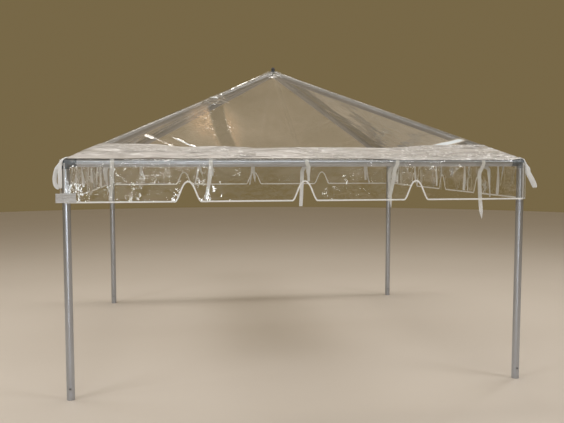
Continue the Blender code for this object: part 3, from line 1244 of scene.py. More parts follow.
@dataclass(frozen=True)
class RoofShape:
    """The height of the roof film over the plan, with its sag, drag lines and folds."""

    sizes: TentSizes
    folds: tuple[Fold, ...]
    sag: float = 0.018
    hip_rounding: float = 0.013
    off_hip: Pair = (0.03, 0.22)
    off_eave: Pair = (0.02, 0.15)
    off_peak: Pair = (0.06, 0.2)
    fold_fade: Pair = (0.0, 0.12)
    swell: float = 0.007
    swell_cell: float = 0.5
    drag: float = 0.006
    drag_cell: Pair = (0.085, 0.55)
    drag_lean: float = 0.25
    drag_reach: float = 0.17
    drag_patch: float = 0.35
    pleat: float = 0.004
    pleat_start: Pair = (0.02, 0.05)
    pleat_end: Pair = (0.10, 0.30)
    pucker_place: Pair = (-0.54, -0.59)
    pucker_turns: float = 200.0
    pucker_height: float = 0.001
    pleats: int = 13
    # Spots that change the milkiness: dust, and painted warm reflected glare beside the front left fold;
    # the last spot is clearer.
    glare_and_dust_spots: tuple[tuple[float, Pair, Pair], ...] = (
        (0.06, (-0.55, -1.15), (0.26, 0.40)),
        (0.27, (-0.645, -0.96), (0.09, 0.24)),
        (0.11, (-0.43, -1.03), (0.06, 0.30)),
        (0.04, (-0.15, -1.05), (0.30, 0.50)),
        (-0.04, (0.95, -0.75), (0.45, 0.60)),
    )
    broad: Ripple = field(default_factory=lambda: Ripple(3))
    lines: Ripple = field(default_factory=lambda: Ripple(8))

    def height(self, x: Array, y: Array) -> Array:
        """The film's height over places on the plan.

        Args:
            x: Metres to the right.
            y: Metres to the rear.

        Returns:
            The height of the middle of the film.
        """
        wide, deep = np.abs(x), np.abs(y)
        out, near = np.maximum(wide, deep), np.minimum(wide, deep)
        ridge = (wide + deep + np.sqrt((wide - deep) ** 2 + self.hip_rounding**2)) / 2
        off_hip = (out - near) / math.sqrt(2)
        up_slope = self.sizes.half_span - out
        free = smooth(off_hip, *self.off_hip) * smooth(up_slope, *self.off_eave)
        free = free * smooth(out, *self.off_peak)
        rise = np.clip(up_slope / self.sizes.half_span, 0, 1)
        bowl = (1 - (near / np.maximum(out, 1e-6)) ** 2) * (4 * rise * (1 - rise)) ** 0.7
        swell = self.broad.layered(x / self.swell_cell, y / self.swell_cell, 2) * self.swell
        folds = sum(fold.lift(x, y) for fold in self.folds)
        over_eave = smooth(up_slope, *self.fold_fade)
        return (
            self.sizes.sheet_height(ridge)
            + free * (swell - self.sag * bowl)
            + over_eave * (folds + self.dragged(x, y))
            + self.pleated(x, y)
        )

    def dragged(self, x: Array, y: Array) -> Array:
        """Drag lines that run off the hips, and the puckers across the front left one.

        Args:
            x: Metres to the right.
            y: Metres to the rear.

        Returns:
            How much they raise the film.
        """
        wide, deep = np.abs(x), np.abs(y)
        along, off = (wide + deep) / math.sqrt(2), (wide - deep) / math.sqrt(2)
        quarter = (x > 0) * 17.3 + (y > 0) * 5.9
        shear = (along + self.drag_lean * np.abs(off)) / self.drag_cell[0]
        ridges = 1 - np.abs(self.lines.at(shear + quarter, off / self.drag_cell[1] + quarter)) * 2.2
        strong = smooth(self.lines.at(along / self.drag_patch + quarter, quarter), -0.35, 0.5)
        fade = np.exp(-np.abs(off) / self.drag_reach) * smooth(np.abs(off), 0.0, 0.035)
        waves = 0.5 + 0.5 * np.sin((x + y) * self.pucker_turns)
        pucker = hump(self._off_pucker(x, y), 0.11) * waves * self.pucker_height
        return np.clip(ridges, 0, 1) * strong * fade * self.drag + pucker

    def _off_pucker(self, x: Array, y: Array) -> Array:
        """How far places lie from the puckers."""
        return np.hypot(x - self.pucker_place[0], y - self.pucker_place[1])

    def pleated(self, x: Array, y: Array) -> Array:
        """Small pleats where the film gathers round the peak.

        Args:
            x: Metres to the right.
            y: Metres to the rear.

        Returns:
            How much they raise the film.
        """
        out = np.hypot(x, y)
        turn = np.arctan2(y, x)
        wave = 0.5 + 0.5 * np.sin(turn * self.pleats + self.broad.at(turn * 2, out * 9) * 3)
        return self.pleat * wave * smooth(out, *self.pleat_start) * (1 - smooth(out, *self.pleat_end))

    def veil(self, x: Array, y: Array) -> Array:
        """How milky the film is over places on the plan.

        Args:
            x: Metres to the right.
            y: Metres to the rear.

        Returns:
            The change from the film's own milkiness.
        """
        hips = -0.03 * hump(off_hips(x, y) / math.sqrt(2), 0.05)
        clouds = 0.03 * self.broad.layered(x / 0.35 + 5, y / 0.35, 3)
        # Milkier spots: dust and painted reflected glare.
        dusty = sum(
            depth * hump(x - at[0], size[0]) * hump(y - at[1], size[1])
            for depth, at, size in self.glare_and_dust_spots
        )
        return hips + clouds + dusty + sum(fold.veiled(x, y) for fold in self.folds)

    def crumple(self, x: Array, y: Array) -> Array:
        """How creased the film is over places on the plan.

        Args:
            x: Metres to the right.
            y: Metres to the rear.

        Returns:
            A share from 0 to 1.
        """
        wide, deep = np.abs(x), np.abs(y)
        off = off_hips(x, y) / math.sqrt(2)
        out = np.maximum(wide, deep)
        hips = 0.07 * np.exp(-off / 0.05) * smooth(self.lines.at(x * 3, y * 3), -0.2, 0.5)
        peak = 0.6 * (1 - smooth(out, 0.04, 0.22))
        corner = smooth(np.minimum(wide, deep), 0.85, 1.35) * smooth(x, -0.4, 0.9)
        pucker = hump(self._off_pucker(x, y), 0.1)
        drift = 0.10 * smooth(self.broad.layered(x * 2.2, y * 2.2, 2), 0.1, 0.5)
        rims = sum(np.clip(fold.veiled(x, y), 0, 1) for fold in self.folds) * 0.3
        return np.clip(hips + peak + corner * 0.07 + pucker * 0.08 + drift + rims, 0, 1)


def ring_places(per_side: int, crowd: float) -> Array:
    """Places round a square of half width 1, closer together near its corners.

    Args:
        per_side: How many places each side has.
        crowd: How much closer the places get, from 0 to below 0.5.

    Returns:
        Rows of x and y, against the clock from the front left corner.
    """
    even = np.linspace(-1, 1, per_side, endpoint=False)
    eased = even + crowd * even * (1 - even**2)
    side = np.stack([eased, -np.ones(per_side), np.zeros(per_side)], axis=-1)
    return np.concatenate([quarter_turns(side, number) for number in range(4)])[:, :2]


@dataclass
class RoofFilm:
    """The clear roof: one sheet over the hips, with welded seams on it."""

    sizes: TentSizes
    shape: RoofShape
    per_side: int = 190
    crowd: float = 0.40
    rows: int = 126
    overlap: float = 0.050
    weld_width: float = 0.030
    weld_rows: int = 150
    weld_top: float = 0.03
    weld_foot: float = 0.004
    weld_rumple: float = 0.0004
    weld_least: float = 0.0002
    weld_veil: float = 0.20
    weld_offsets: tuple[float, ...] = (-0.5, -0.46, -0.38, -0.30, 0.0, 0.30, 0.38, 0.46, 0.5)
    weld_heights: tuple[float, ...] = (
        0.0003, 0.0008, 0.0007, 0.0006, 0.0006, 0.0006, 0.0007, 0.0008, 0.0003,
    )
    hole_gap: float = 0.0015
    film: ClearFilm = ClearFilm(
        "clear_roof_film",
        milk=(0.84, 0.66, 0.45),
        veil=0.035,
        creases=FRONT_CREASES,
        shadows=PUCKER_SHADOWS,
    )
    weld: ClearFilm = ClearFilm("welded_film", veil=0.0, shine=0.5)

    def build(self) -> list[Thing]:
        """Make the sheet and its welds.

        Returns:
            The sheet, then the welds.
        """
        return [self._sheet(), *self._welds()]

    def _sheet(self) -> Thing:
        """Make the one sheet of the roof.

        Returns:
            The sheet.
        """
        inner = self.sizes.hole + self.hole_gap
        outs = np.linspace(self.sizes.band_top + self.overlap, inner, self.rows)
        square = ring_places(self.per_side, self.crowd)
        x, y = outs[:, None] * square[:, 0], outs[:, None] * square[:, 1]
        points = np.stack([x, y, self.shape.height(x, y)], axis=-1)
        pile = Pile()
        marks = {"veil": self.shape.veil(x, y), "crumple": self.shape.crumple(x, y)}
        pile.grid(points, marks=marks, ring=True)
        sheet = pile.made("roof_film", self.film, Slot.CLEAR)
        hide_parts(*[f"roof_panel_{side.label}" for side in Side])
        return sheet

    def _strip(self, name: str, start: Pair, end: Pair) -> Thing:
        """A welded lap on the sheet.

        Args:
            name: The piece's name.
            start: Where it starts on the plan.
            end: Where it ends there.

        Returns:
            The lap.
        """
        line = np.array(end) - np.array(start)
        way = line / np.hypot(*line)
        share = np.linspace(0, 1, self.weld_rows)
        offset = np.array(self.weld_offsets) * self.weld_width
        x = start[0] + share[:, None] * line[0] + offset * way[1]
        y = start[1] + share[:, None] * line[1] - offset * way[0]
        rumple = self.weld_rumple * self.shape.lines.at(share[:, None] * 60, offset * 90)
        lift = np.maximum(np.array(self.weld_heights) + rumple, self.weld_least)
        points = np.stack([x, y, self.shape.height(x, y) + lift], axis=-1)
        edges = np.exp(-((np.abs(offset) / self.weld_width - 0.46) ** 2) / 0.003)
        veil = np.broadcast_to(self.weld_veil * edges, x.shape)
        pile = Pile()
        pile.grid(points, marks={"veil": veil, "crumple": self.shape.crumple(x, y) * 0.5})
        return pile.made(name, self.weld, Slot.CLEAR)

    def _welds(self) -> list[Thing]:
        """Make the laps on the hips and down the middle of each slope.

        Returns:
            The laps.
        """
        top, foot = self.weld_top, self.sizes.band_top + self.weld_foot
        made = []
        for corner in Corner:
            ends = corner.turned(np.array([[-foot, -foot, 0.0], [-top, -top, 0.0]]))[:, :2]
            made.append(self._strip(f"hip_weld_{corner.label}", tuple(ends[0]), tuple(ends[1])))
        for side in Side:
            ends = side.turned(np.array([[-0.012, -foot, 0.0], [0.002, -top, 0.0]]))[:, :2]
            made.append(self._strip(f"middle_weld_{side.label}", tuple(ends[0]), tuple(ends[1])))
        return made

    def declare(self, sheet: Thing, welds: list[Thing]) -> None:
        """Work out the area that the sheet was cut to, which is not kept.

        Args:
            sheet: The sheet; not used.
            welds: The laps on it; not used.
        """
        out = self.sizes.band_top + self.overlap
        edge = 2 * out / math.cos(self.sizes.slope)
        edge * 2 * out


@dataclass
class EaveBand:
    """The white band round the foot of the roof, which ends on top of the eave beams."""

    sizes: TentSizes
    shape: RoofShape
    per_side: int = 330
    crowd: float = 0.36
    rows: int = 40
    inset: float = 0.001
    wrap: float = 16.0
    wrap_wander: float = 9.0
    loose_left: Pair = (0.9, 1.2)
    right_wrap: float = 32.0
    right_wrapped: Pair = (0.36, 0.66)
    dip: float = 0.034
    dip_left: Pair = (-0.98, -0.72)
    dip_right: Pair = (-0.94, -0.58)
    wrap_rows: int = 4
    clearance: float = 0.0024
    edge_rise: float = 0.0016
    edge_sink: float = 0.0004
    lift: float = 0.0010
    long_wrinkle: float = 0.0085
    long_cell: Pair = (0.50, 0.042)
    short_wrinkle: float = 0.0030
    short_cell: Pair = (0.11, 0.024)
    wander: float = 0.055
    pale_right: Pair = (0.35, 0.75)
    creased_right: Pair = (0.50, 0.85)
    creased_spots: tuple[tuple[float, float, float], ...] = ((1.0, -0.46, 0.19), (0.8, 0.10, 0.14))
    wrinkle: Ripple = field(default_factory=lambda: Ripple(14))
    film: WhiteFilm = WhiteFilm()

    def build(self) -> Thing:
        """Make the band.

        Returns:
            The one sheet that goes round all four sides.
        """
        square = ring_places(self.per_side, self.crowd)
        outs = np.linspace(self.sizes.film_half - self.inset, self.sizes.band_top, self.rows)
        outs = outs[:, None] * np.ones(len(square))
        outs += np.linspace(0, 1, self.rows)[:, None] * self._dipped(*(outs[-1] * square.T))
        x, y = outs * square[:, 0], outs * square[:, 1]
        z = self._height(x, y)
        z[-2] += self.edge_rise
        z[-1] -= self.edge_sink
        radius = self.sizes.fold_radius + self.clearance
        start = math.asin((outs[0, 0] - self.sizes.half_span) / radius)
        turn = start + np.linspace(1, 0.25, self.wrap_rows)[:, None] * self._wrapped(x[0], y[0])
        low = self.sizes.half_span + radius * np.sin(turn)
        x, y = np.concatenate([low * square[:, 0], x]), np.concatenate([low * square[:, 1], y])
        z = np.concatenate([self.sizes.eave_height + radius * np.cos(turn), z])
        pile = Pile()
        # The hem mark is where the band gets a painted highlight along its lower edge.
        marks = {"crumple": self._crumple(x, y), "hem_highlight": self._hem_highlight_share(x, y)}
        pile.grid(np.stack([x, y, z], axis=-1), marks=marks, ring=True)
        band = pile.made("eave_band_sheet", self.film, Slot.WHITE)
        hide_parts(*[f"eave_band_{side.label}" for side in Side])
        return band

    def _along(self, x: Array, y: Array) -> Array:
        """Metres along the eaves, against the clock from the middle of the front.

        Args:
            x: Metres to the right.
            y: Metres to the rear.

        Returns:
            The distance at each place.
        """
        span = 2 * self.sizes.half_span
        front_or_rear = np.abs(y) >= np.abs(x)
        on_side = np.where(front_or_rear, x * -np.sign(y), y * np.sign(x))
        number = np.where(front_or_rear, np.where(y < 0, 0, 2), np.where(x > 0, 1, 3))
        return on_side + number * span

    def _wrapped(self, x: Array, y: Array) -> Array:
        """How far the lower edge turns down over the beam, most at the right of the front.

        Args:
            x: Metres to the right.
            y: Metres to the rear.

        Returns:
            Angles round the beam's axis.
        """
        on_front = y < FRONT_FOOT
        loose = 0.3 + 0.7 * smooth(-x, *self.loose_left) * on_front
        wander = self.wrap_wander * self.wrinkle.layered(self._along(x, y) / 0.09, 2.5, 2) * loose
        away = smooth(off_hips(x, y), 0.0, 0.12)
        right = self.right_wrap * smooth(x, *self.right_wrapped) * on_front
        return np.radians(self.wrap + (right + wander) * away)

    def _dipped(self, x: Array, y: Array) -> Array:
        """How far down the slope the upper edge sags, most in the middle of the front.

        Args:
            x: Metres to the right.
            y: Metres to the rear.

        Returns:
            Metres outward on the plan.
        """
        on_front = y < FRONT_SLOPE
        front = smooth(x, *self.dip_left) * smooth(-x, *self.dip_right) * on_front
        other = 0.5 * smooth(self.wrinkle.at(self._along(x, y) / 0.9 + 11, 6.5), -0.1, 0.5)
        other = other * ~on_front
        hips = smooth(off_hips(x, y), 0.02, 0.30)
        return self.dip * np.maximum(front, other * hips)

    def _height(self, x: Array, y: Array) -> Array:
        """The band's height over the plan, with its long wrinkles.

        Args:
            x: Metres to the right.
            y: Metres to the rear.

        Returns:
            The height of the middle of the band.
        """
        out = np.maximum(np.abs(x), np.abs(y))
        along = self._along(x, y)
        out_there = out + self.wander * self.wrinkle.at(along / 0.55, 1.5)
        (long_x, long_y), (short_x, short_y) = self.long_cell, self.short_cell
        long = self.wrinkle.at(along / long_x + 3, out_there / long_y)
        short = self.wrinkle.layered(along / short_x, out_there / short_y + 20, 2)
        busy = 0.3 + 0.7 * smooth(self.wrinkle.at(along / 0.8, 9.5), -0.2, 0.4)
        near_hip = smooth(off_hips(x, y), 0.0, 0.05)
        pucker = np.clip(long, -0.25, 1) * self.long_wrinkle
        pucker += np.clip(short, -0.15, 1) * self.short_wrinkle * busy
        up = self.sizes.film_half - out
        wide = self.sizes.film_half - self.sizes.band_top
        quiet = smooth(up, 0.004, 0.05) * smooth(wide - up, 0, 0.03)
        return self.shape.height(x, y) + self.lift + pucker * quiet * (0.3 + 0.7 * near_hip)

    def _hem_highlight_share(self, x: Array, y: Array) -> Array:
        """How much painted highlight the band gets towards its lower edge, most at the right of the front.

        Args:
            x: Metres to the right.
            y: Metres to the rear.

        Returns:
            A share from 0 to 1.
        """
        up = self.sizes.film_half - np.maximum(np.abs(x), np.abs(y))
        spots = smooth(self.wrinkle.at(self._along(x, y) / 0.7 + 5, 3.5), 0.0, 0.5)
        spots = spots * (y > FRONT_FOOT)
        right = smooth(x, *self.pale_right) * (y < FRONT_FOOT)
        return 0.9 * np.maximum(spots, right) * smooth(-up, -0.012, 0.0)

    def _crumple(self, x: Array, y: Array) -> Array:
        """How creased the band is, most along the middle and the right of the front.

        Args:
            x: Metres to the right.
            y: Metres to the rear.

        Returns:
            A share from 0 to 1.
        """
        along = self._along(x, y)
        out = np.maximum(np.abs(x), np.abs(y))
        spots = smooth(self.wrinkle.layered(along / 0.25 + 7, out / 0.07, 2), 0.0, 0.5)
        middle = sum(strength * hump(x - at, width) for strength, at, width in self.creased_spots)
        right = smooth(x, *self.creased_right)
        broken = smooth(self.wrinkle.at(along / 0.09, out / 0.03), -0.5, 0.3)
        front = (middle + right) * (y < FRONT_FOOT) * broken
        return np.clip(0.10 + 0.6 * spots + 0.9 * front, 0, 1)

    def declare(self, band: Thing, hangers: list[Thing]) -> None:
        """Work out the area that the band was cut to, which is not kept.

        Args:
            band: The band; not used.
            hangers: The ties and loops that hang with it; not used.
        """
        out = self.sizes.film_half - self.inset
        width = (out - self.sizes.band_top) / math.cos(self.sizes.slope)
        width += self.sizes.fold_radius * math.radians(self.wrap)
        length = 8 * out
        mitres = (out - self.sizes.band_top) * width * 4
        width * length - mitres


@dataclass(frozen=True)
class Crush:
    """A crumpled spot on a valance: where it is along and up, how large and how strong."""

    x: float
    z: float
    size: float
    strength: float


FRONT_CRUSHES = (
    Crush(-1.42, 1.44, 0.045, 0.9),
    Crush(-1.31, 1.42, 0.05, 0.9),
    Crush(-1.25, 1.46, 0.03, 0.8),
    Crush(-1.30, 1.28, 0.03, 0.7),
    Crush(-1.10, 1.455, 0.06, 0.8),
    Crush(-1.16, 1.34, 0.045, 0.5),
    Crush(-0.92, 1.455, 0.07, 1.0),
    Crush(-0.85, 1.41, 0.06, 0.9),
    Crush(-0.78, 1.45, 0.04, 0.6),
    Crush(-0.94, 1.33, 0.06, 0.9),
    Crush(-0.72, 1.33, 0.04, 0.8),
    Crush(0.36, 1.43, 0.04, 0.5),
    Crush(0.70, 1.45, 0.05, 0.6),
    Crush(0.86, 1.44, 0.05, 0.8),
    Crush(1.03, 1.44, 0.04, 0.7),
)


def drawn_crushes(seed: int, count: int = 12) -> tuple[Crush, ...]:
    """Crumpled spots for a side that the photo doesn't show straight on.

    Args:
        seed: What the draws start from.
        count: How many spots there are.

    Returns:
        The spots.
    """
    low, high = [-1.45, 1.30, 0.03, 0.4], [1.45, 1.47, 0.07, 1.0]
    drawn = np.random.default_rng(seed).uniform(low, high, (count, len(low)))
    return tuple(Crush(*row) for row in drawn)


@dataclass
class Valance:
    """One clear valance with three notches in its foot, and the tape round its edges.

    It is welded under the band, turns down over the beam and hangs free.
    """

    sizes: TentSizes
    side: Side
    crushes: tuple[Crush, ...]
    pleated_end: float = 0.0
    lappets: int = 4
    notch_width: float = 0.165
    notch_height: float = 0.125
    notch_shoulder: float = 1.15
    columns: int = 520
    rows: int = 24
    lap: float = 0.014
    gap: float = 0.0009
    under_roof: float = 0.0006
    under_band: float = 0.0007
    inset: float = 0.001
    swing: float = 0.013
    pleat: float = 0.006
    turn_rows: int = 9
    end_steps: int = 28
    edge_steps: int = 620
    area_steps: int = 2000
    tape_width: float = 0.010
    end_width: float = 0.0045
    tape_thick: float = 0.0022
    tape_past: float = 0.0004
    film: ClearFilm = ClearFilm(
        "clear_valance_film", swell=0.006, crumple=0.024, veil=0.0, smear=0.012, gloss=0.09
    )
    tape: StitchedTape = StitchedTape()

    def __post_init__(self) -> None:
        """Draw the noise of this side."""
        self.waves = Ripple(40 + self.side.value)

    def foot(self, x: Array) -> Array:
        """The notched foot.

        Args:
            x: Places along it.

        Returns:
            Its height at each of them.
        """
        pitch = 2 * self.sizes.half_span / self.lappets
        rise = np.zeros_like(x)
        for number in range(1, self.lappets):
            middle = number * pitch - self.sizes.half_span
            share = np.clip(np.abs(x - middle) / (self.notch_width / 2), 0, 1)
            rise += (1 + np.cos(math.pi * share**self.notch_shoulder)) / 2
        return self.sizes.valance_foot + self.notch_height * rise

    def out(self, x: Array, z: Array) -> Array:
        """How far out from the tent's middle the film hangs.

        Args:
            x: Places along the valance.
            z: Their heights.

        Returns:
            The distance on the plan.
        """
        sizes = self.sizes
        low = np.clip((sizes.eave_height - z) / (sizes.eave_height - sizes.valance_foot), 0, 1)
        wave = 0.5 + 0.5 * self.waves.layered(x / 0.26, z * 1.3, 2)
        pleats = self.waves.at(x / 0.045, z * 2.0) * 0.5 + 0.5
        bunched = 0.12 + self.pleated_end * (1 - smooth(x, -1.1, -0.6))
        push = self.swing * wave * low**1.1
        push += self.pleat * pleats * bunched * smooth(low, 0.0, 0.3)
        return sizes.half_span + sizes.fold_radius + self.gap + push

    def _crumple(self, x: Array, z: Array) -> Array:
        """How creased the film is.

        Args:
            x: Places along the valance.
            z: Their heights.

        Returns:
            A share from 0 to 1.
        """
        total = 0.05 + 0.25 * smooth(self.waves.layered(x / 0.16, z / 0.10, 2), 0.15, 0.55)
        for crush in self.crushes:
            near = ((x - crush.x) ** 2 + ((z - crush.z) * 1.2) ** 2) / crush.size**2
            total = total + crush.strength * np.exp(-near)
        return np.clip(total, 0, 1)

    def build(self) -> tuple[Thing, Thing]:
        """Make the film and its tape.

        Returns:
            The film and the tape.
        """
        half = self.sizes.film_half - self.inset
        even = np.linspace(-half, half, self.columns)
        share = np.linspace(0, 1, self.rows)[:, None]
        foot = self.foot(even) + self.inset
        hung_z = foot + (self.sizes.eave_height - foot) * share
        hung_out = self.out(np.broadcast_to(even, hung_z.shape), hung_z)
        top_out, top_z = self._top()
        wide = np.ones_like(even)
        out = np.concatenate([hung_out, top_out * wide])
        z = np.concatenate([hung_z, top_z * wide])
        x = np.broadcast_to(even, z.shape)
        points = np.stack([x, -out, z], axis=-1)
        veil = 0.02 * self.waves.layered(x / 0.2 + 3, z / 0.2, 3)
        pile = Pile()
        pile.grid(self.side.turned(points), marks={"veil": veil, "crumple": self._crumple(x, z)})
        film = pile.made(f"valance_film_{self.side.label}", self.film, Slot.CLEAR)
        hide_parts(f"valance_{self.side.label}")
        return film, self._binding()

    def _top(self) -> tuple[Array, Array]:
        """The film's way over the beam and under the band, as rows.

        Returns:
            How far out it lies and how high.
        """
        sizes = self.sizes
        turn = np.linspace(math.pi / 2, sizes.slope, self.turn_rows)[1:, None]
        radius = np.linspace(self.gap, -self.under_roof, self.turn_rows)[1:, None] + sizes.fold_radius
        fold_out = sizes.half_span + radius * np.sin(turn)
        fold_z = sizes.eave_height + radius * np.cos(turn)
        lap_out = fold_out[-1:] - np.array([[0.5], [1.0]]) * self.lap * math.cos(sizes.slope)
        lap_z = sizes.sheet_height(lap_out) - self.under_band
        return np.concatenate([fold_out, lap_out]), np.concatenate([fold_z, lap_z])

    def _edge(self) -> Array:
        """The free edge: down the left end, along the notched foot, and up the right end.

        Returns:
            Rows of a place along the valance and its height.
        """
        half, top = self.sizes.film_half, self.sizes.eave_height
        low = self.sizes.valance_foot
        drop = np.linspace(top, low, self.end_steps)[:-1]
        run = np.linspace(-half, half, self.edge_steps)
        left = np.stack([np.full_like(drop, -half), drop], axis=-1)
        right = np.stack([np.full_like(drop, half), drop[::-1]], axis=-1)
        return np.concatenate([left, np.stack([run, self.foot(run)], axis=-1), right])

    def _binding(self) -> Thing:
        """Make the tape folded over the free edge.

        Returns:
            The tape.
        """
        edge = self._edge()
        ways = np.diff(edge, axis=0)
        ways /= np.linalg.norm(ways, axis=1, keepdims=True)
        before, after = np.vstack([ways[:1], ways]), np.vstack([ways, ways[-1:]])
        lefts = np.stack([-before[:, 1], before[:, 0]], axis=-1)
        mean = before + after
        mean = np.stack([-mean[:, 1], mean[:, 0]], axis=-1)
        mean /= np.linalg.norm(mean, axis=1, keepdims=True)
        inward = mean / np.sum(mean * lefts, axis=1, keepdims=True)
        on_foot = np.abs(edge[:, 0]) < self.sizes.film_half - 0.002
        width = np.where(on_foot, self.tape_width, self.end_width)
        across, off = strap_ring(width / 2, self.tape_thick / 2)
        depth = across + width[:, None] / 2 - self.tape_past
        x = edge[:, None, 0] + inward[:, None, 0] * depth
        z = edge[:, None, 1] + inward[:, None, 1] * depth
        points = np.stack([x, -(self.out(x, z) + off), z], axis=-1)
        along = np.broadcast_to(run_along(edge)[:, None], across.shape)
        pile = Pile()
        pile.swept(self.side.turned(points), np.stack([across, along], axis=-1))
        tape = pile.made(f"valance_tape_{self.side.label}", self.tape, Slot.BINDING)
        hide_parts(f"valance_binding_{self.side.label}")
        return tape

    def declare(self, film: Thing, tape: Thing, band: Thing) -> None:
        """Work out the size and area that the valance was cut to, which are not kept.

        Args:
            film: The valance's film; not used.
            tape: The tape round its edges; not used.
            band: The band that it is welded under; not used.
        """
        sizes = self.sizes
        half = sizes.film_half
        over = self.lap + sizes.fold_radius * (math.pi / 2 - sizes.slope)
        tall = sizes.eave_height - sizes.valance_foot + over
        run = np.linspace(-half, half, self.area_steps)
        area = (float(np.mean(sizes.eave_height - self.foot(run))) + over) * 2 * half


@dataclass(frozen=True)
class Tail:
    """A hanging end of a tie, below the beam's axis.

    It shifts along the beam, sways on the way down and turns as it goes.
    """

    drop: float
    shift: float = 0.0
    sway: float = 0.0
    turn: float = 0.0
    pointed: bool = False


@dataclass(frozen=True)
class Tie:
    """A tie over the beam, this far along it, with an outer and an inner tail."""

    along: float
    outer: Tail
    inner: Tail


FRONT_TIES = (
    Tie(-1.216, Tail(0.236, 0.000, -0.016, 35.0), Tail(0.185, -0.052, 0.030, 74.0)),
    Tie(-0.605, Tail(0.234, 0.000, -0.034, 40.0), Tail(0.085, 0.004, 0.004, 15.0)),
    Tie(0.014, Tail(0.120, 0.010, 0.004, 60.0), Tail(0.285, -0.022, -0.010, 12.0)),
    Tie(0.622, Tail(0.232, -0.016, -0.036, 35.0), Tail(0.300, -0.042, 0.014, 30.0, True)),
    Tie(1.221, Tail(0.378, -0.030, 0.028, 20.0, True), Tail(0.232, 0.060, 0.008, 48.0)),
)


def drawn_ties(half_span: float, seed: int) -> tuple[Tie, ...]:
    """The five ties of a side that the photo shows only through the film.

    Args:
        half_span: Half the spacing of the beams.
        seed: What the draws start from.

    Returns:
        The ties.
    """
    drawn = np.random.default_rng(seed)
    low, high = [0.14, -0.02, -0.04, 10.0, 0.0], [0.25, 0.02, 0.04, 55.0, 1.0]
    spacing, pointed_from = 0.4 * half_span, 0.6
    ties = []
    for number in range(5):
        rows = drawn.uniform(low, high, (2, len(low))).tolist()
        outer, inner = (Tail(*row[:4], row[4] > pointed_from) for row in rows)
        ties.append(Tie((number - 2) * spacing + drawn.uniform(-0.02, 0.02), outer, inner))
    return tuple(ties)


@dataclass
class Ties:
    """The five webbing ties of one side, each lapped over the beam under the film's fold."""

    sizes: TentSizes
    side: Side
    ties: tuple[Tie, ...]
    width: float = 0.025
    thick: float = 0.0012
    lap: float = 0.0004
    steps: int = 46
    over_steps: int = 34
    point: float = 0.055
    eased_end: float = 0.004

    def build(self) -> Thing:
        """Make the five ties.

        Returns:
            The ties as one piece.
        """
        pile = Pile()
        for tie in self.ties:
            self._lay(pile, tie)
        webbing = Webbing("tie_webbing", self.width / 2)
        ties = pile.made(f"webbing_ties_{self.side.label}", webbing, Slot.WEBBING)
        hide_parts(f"eave_ties_{self.side.label}")
        return ties

    def _hang(self, tail: Tail, radius: float) -> tuple[Array, Array, Array, Array]:
        """A tail from the beam down.

        Args:
            tail: The tail.
            radius: How far the webbing lies from the beam's axis.

        Returns:
            Along the beam, out from its axis, up from it, and the tail's turn.
        """
        share = np.linspace(0, 1, self.steps)[1:]
        turn = math.radians(tail.turn) * smooth(share, 0.05, 0.8)
        inward = np.minimum(0.5 * self.width * np.abs(np.sin(turn)) + 0.004 * share, 0.02)
        along = tail.shift * smooth(share, 0.0, 0.22) + tail.sway * share**1.7
        return along, radius - inward, -tail.drop * share, turn

    def _ends(self, tail: Tail, steps: Array) -> Array:
        """The width towards the end of a tail.

        Args:
            tail: The tail.
            steps: Metres before its end.

        Returns:
            The share of the full width there.
        """
        if tail.pointed:
            return 0.10 + 0.90 * np.clip(steps / self.point, 0, 1)
        return 0.85 + 0.15 * np.clip(steps / self.eased_end, 0, 1)

    def _lay(self, pile: Pile, tie: Tie) -> None:
        """Add a tie: up its outer tail, over the beam and down its inner tail.

        Args:
            pile: What it is added to.
            tie: The tie.
        """
        sizes = self.sizes
        radius = sizes.tube_radius + self.lap + self.thick / 2
        outer = [part[::-1] for part in self._hang(tie.outer, radius)]
        inner = self._hang(tie.inner, radius)
        over = np.linspace(0, math.pi, self.over_steps)
        still = np.zeros_like(over)
        along = tie.along + np.concatenate([outer[0], still, inner[0]])
        out = np.concatenate([outer[1], radius * np.cos(over), -inner[1]])
        up = np.concatenate([outer[2], radius * np.sin(over), inner[2]])
        turn = np.concatenate([outer[3], still, -inner[3]])
        path = np.stack([along, -(sizes.half_span + out), sizes.eave_height + up], axis=-1)
        across = np.stack([np.cos(turn), -np.sin(turn), np.zeros_like(turn)], axis=-1)
        steps = run_along(path)
        width = self.width * self._ends(tie.outer, steps) * self._ends(tie.inner, steps[-1] - steps)
        strap(pile, self.side.turned(path), self.side.turned(across), width, self.thick)


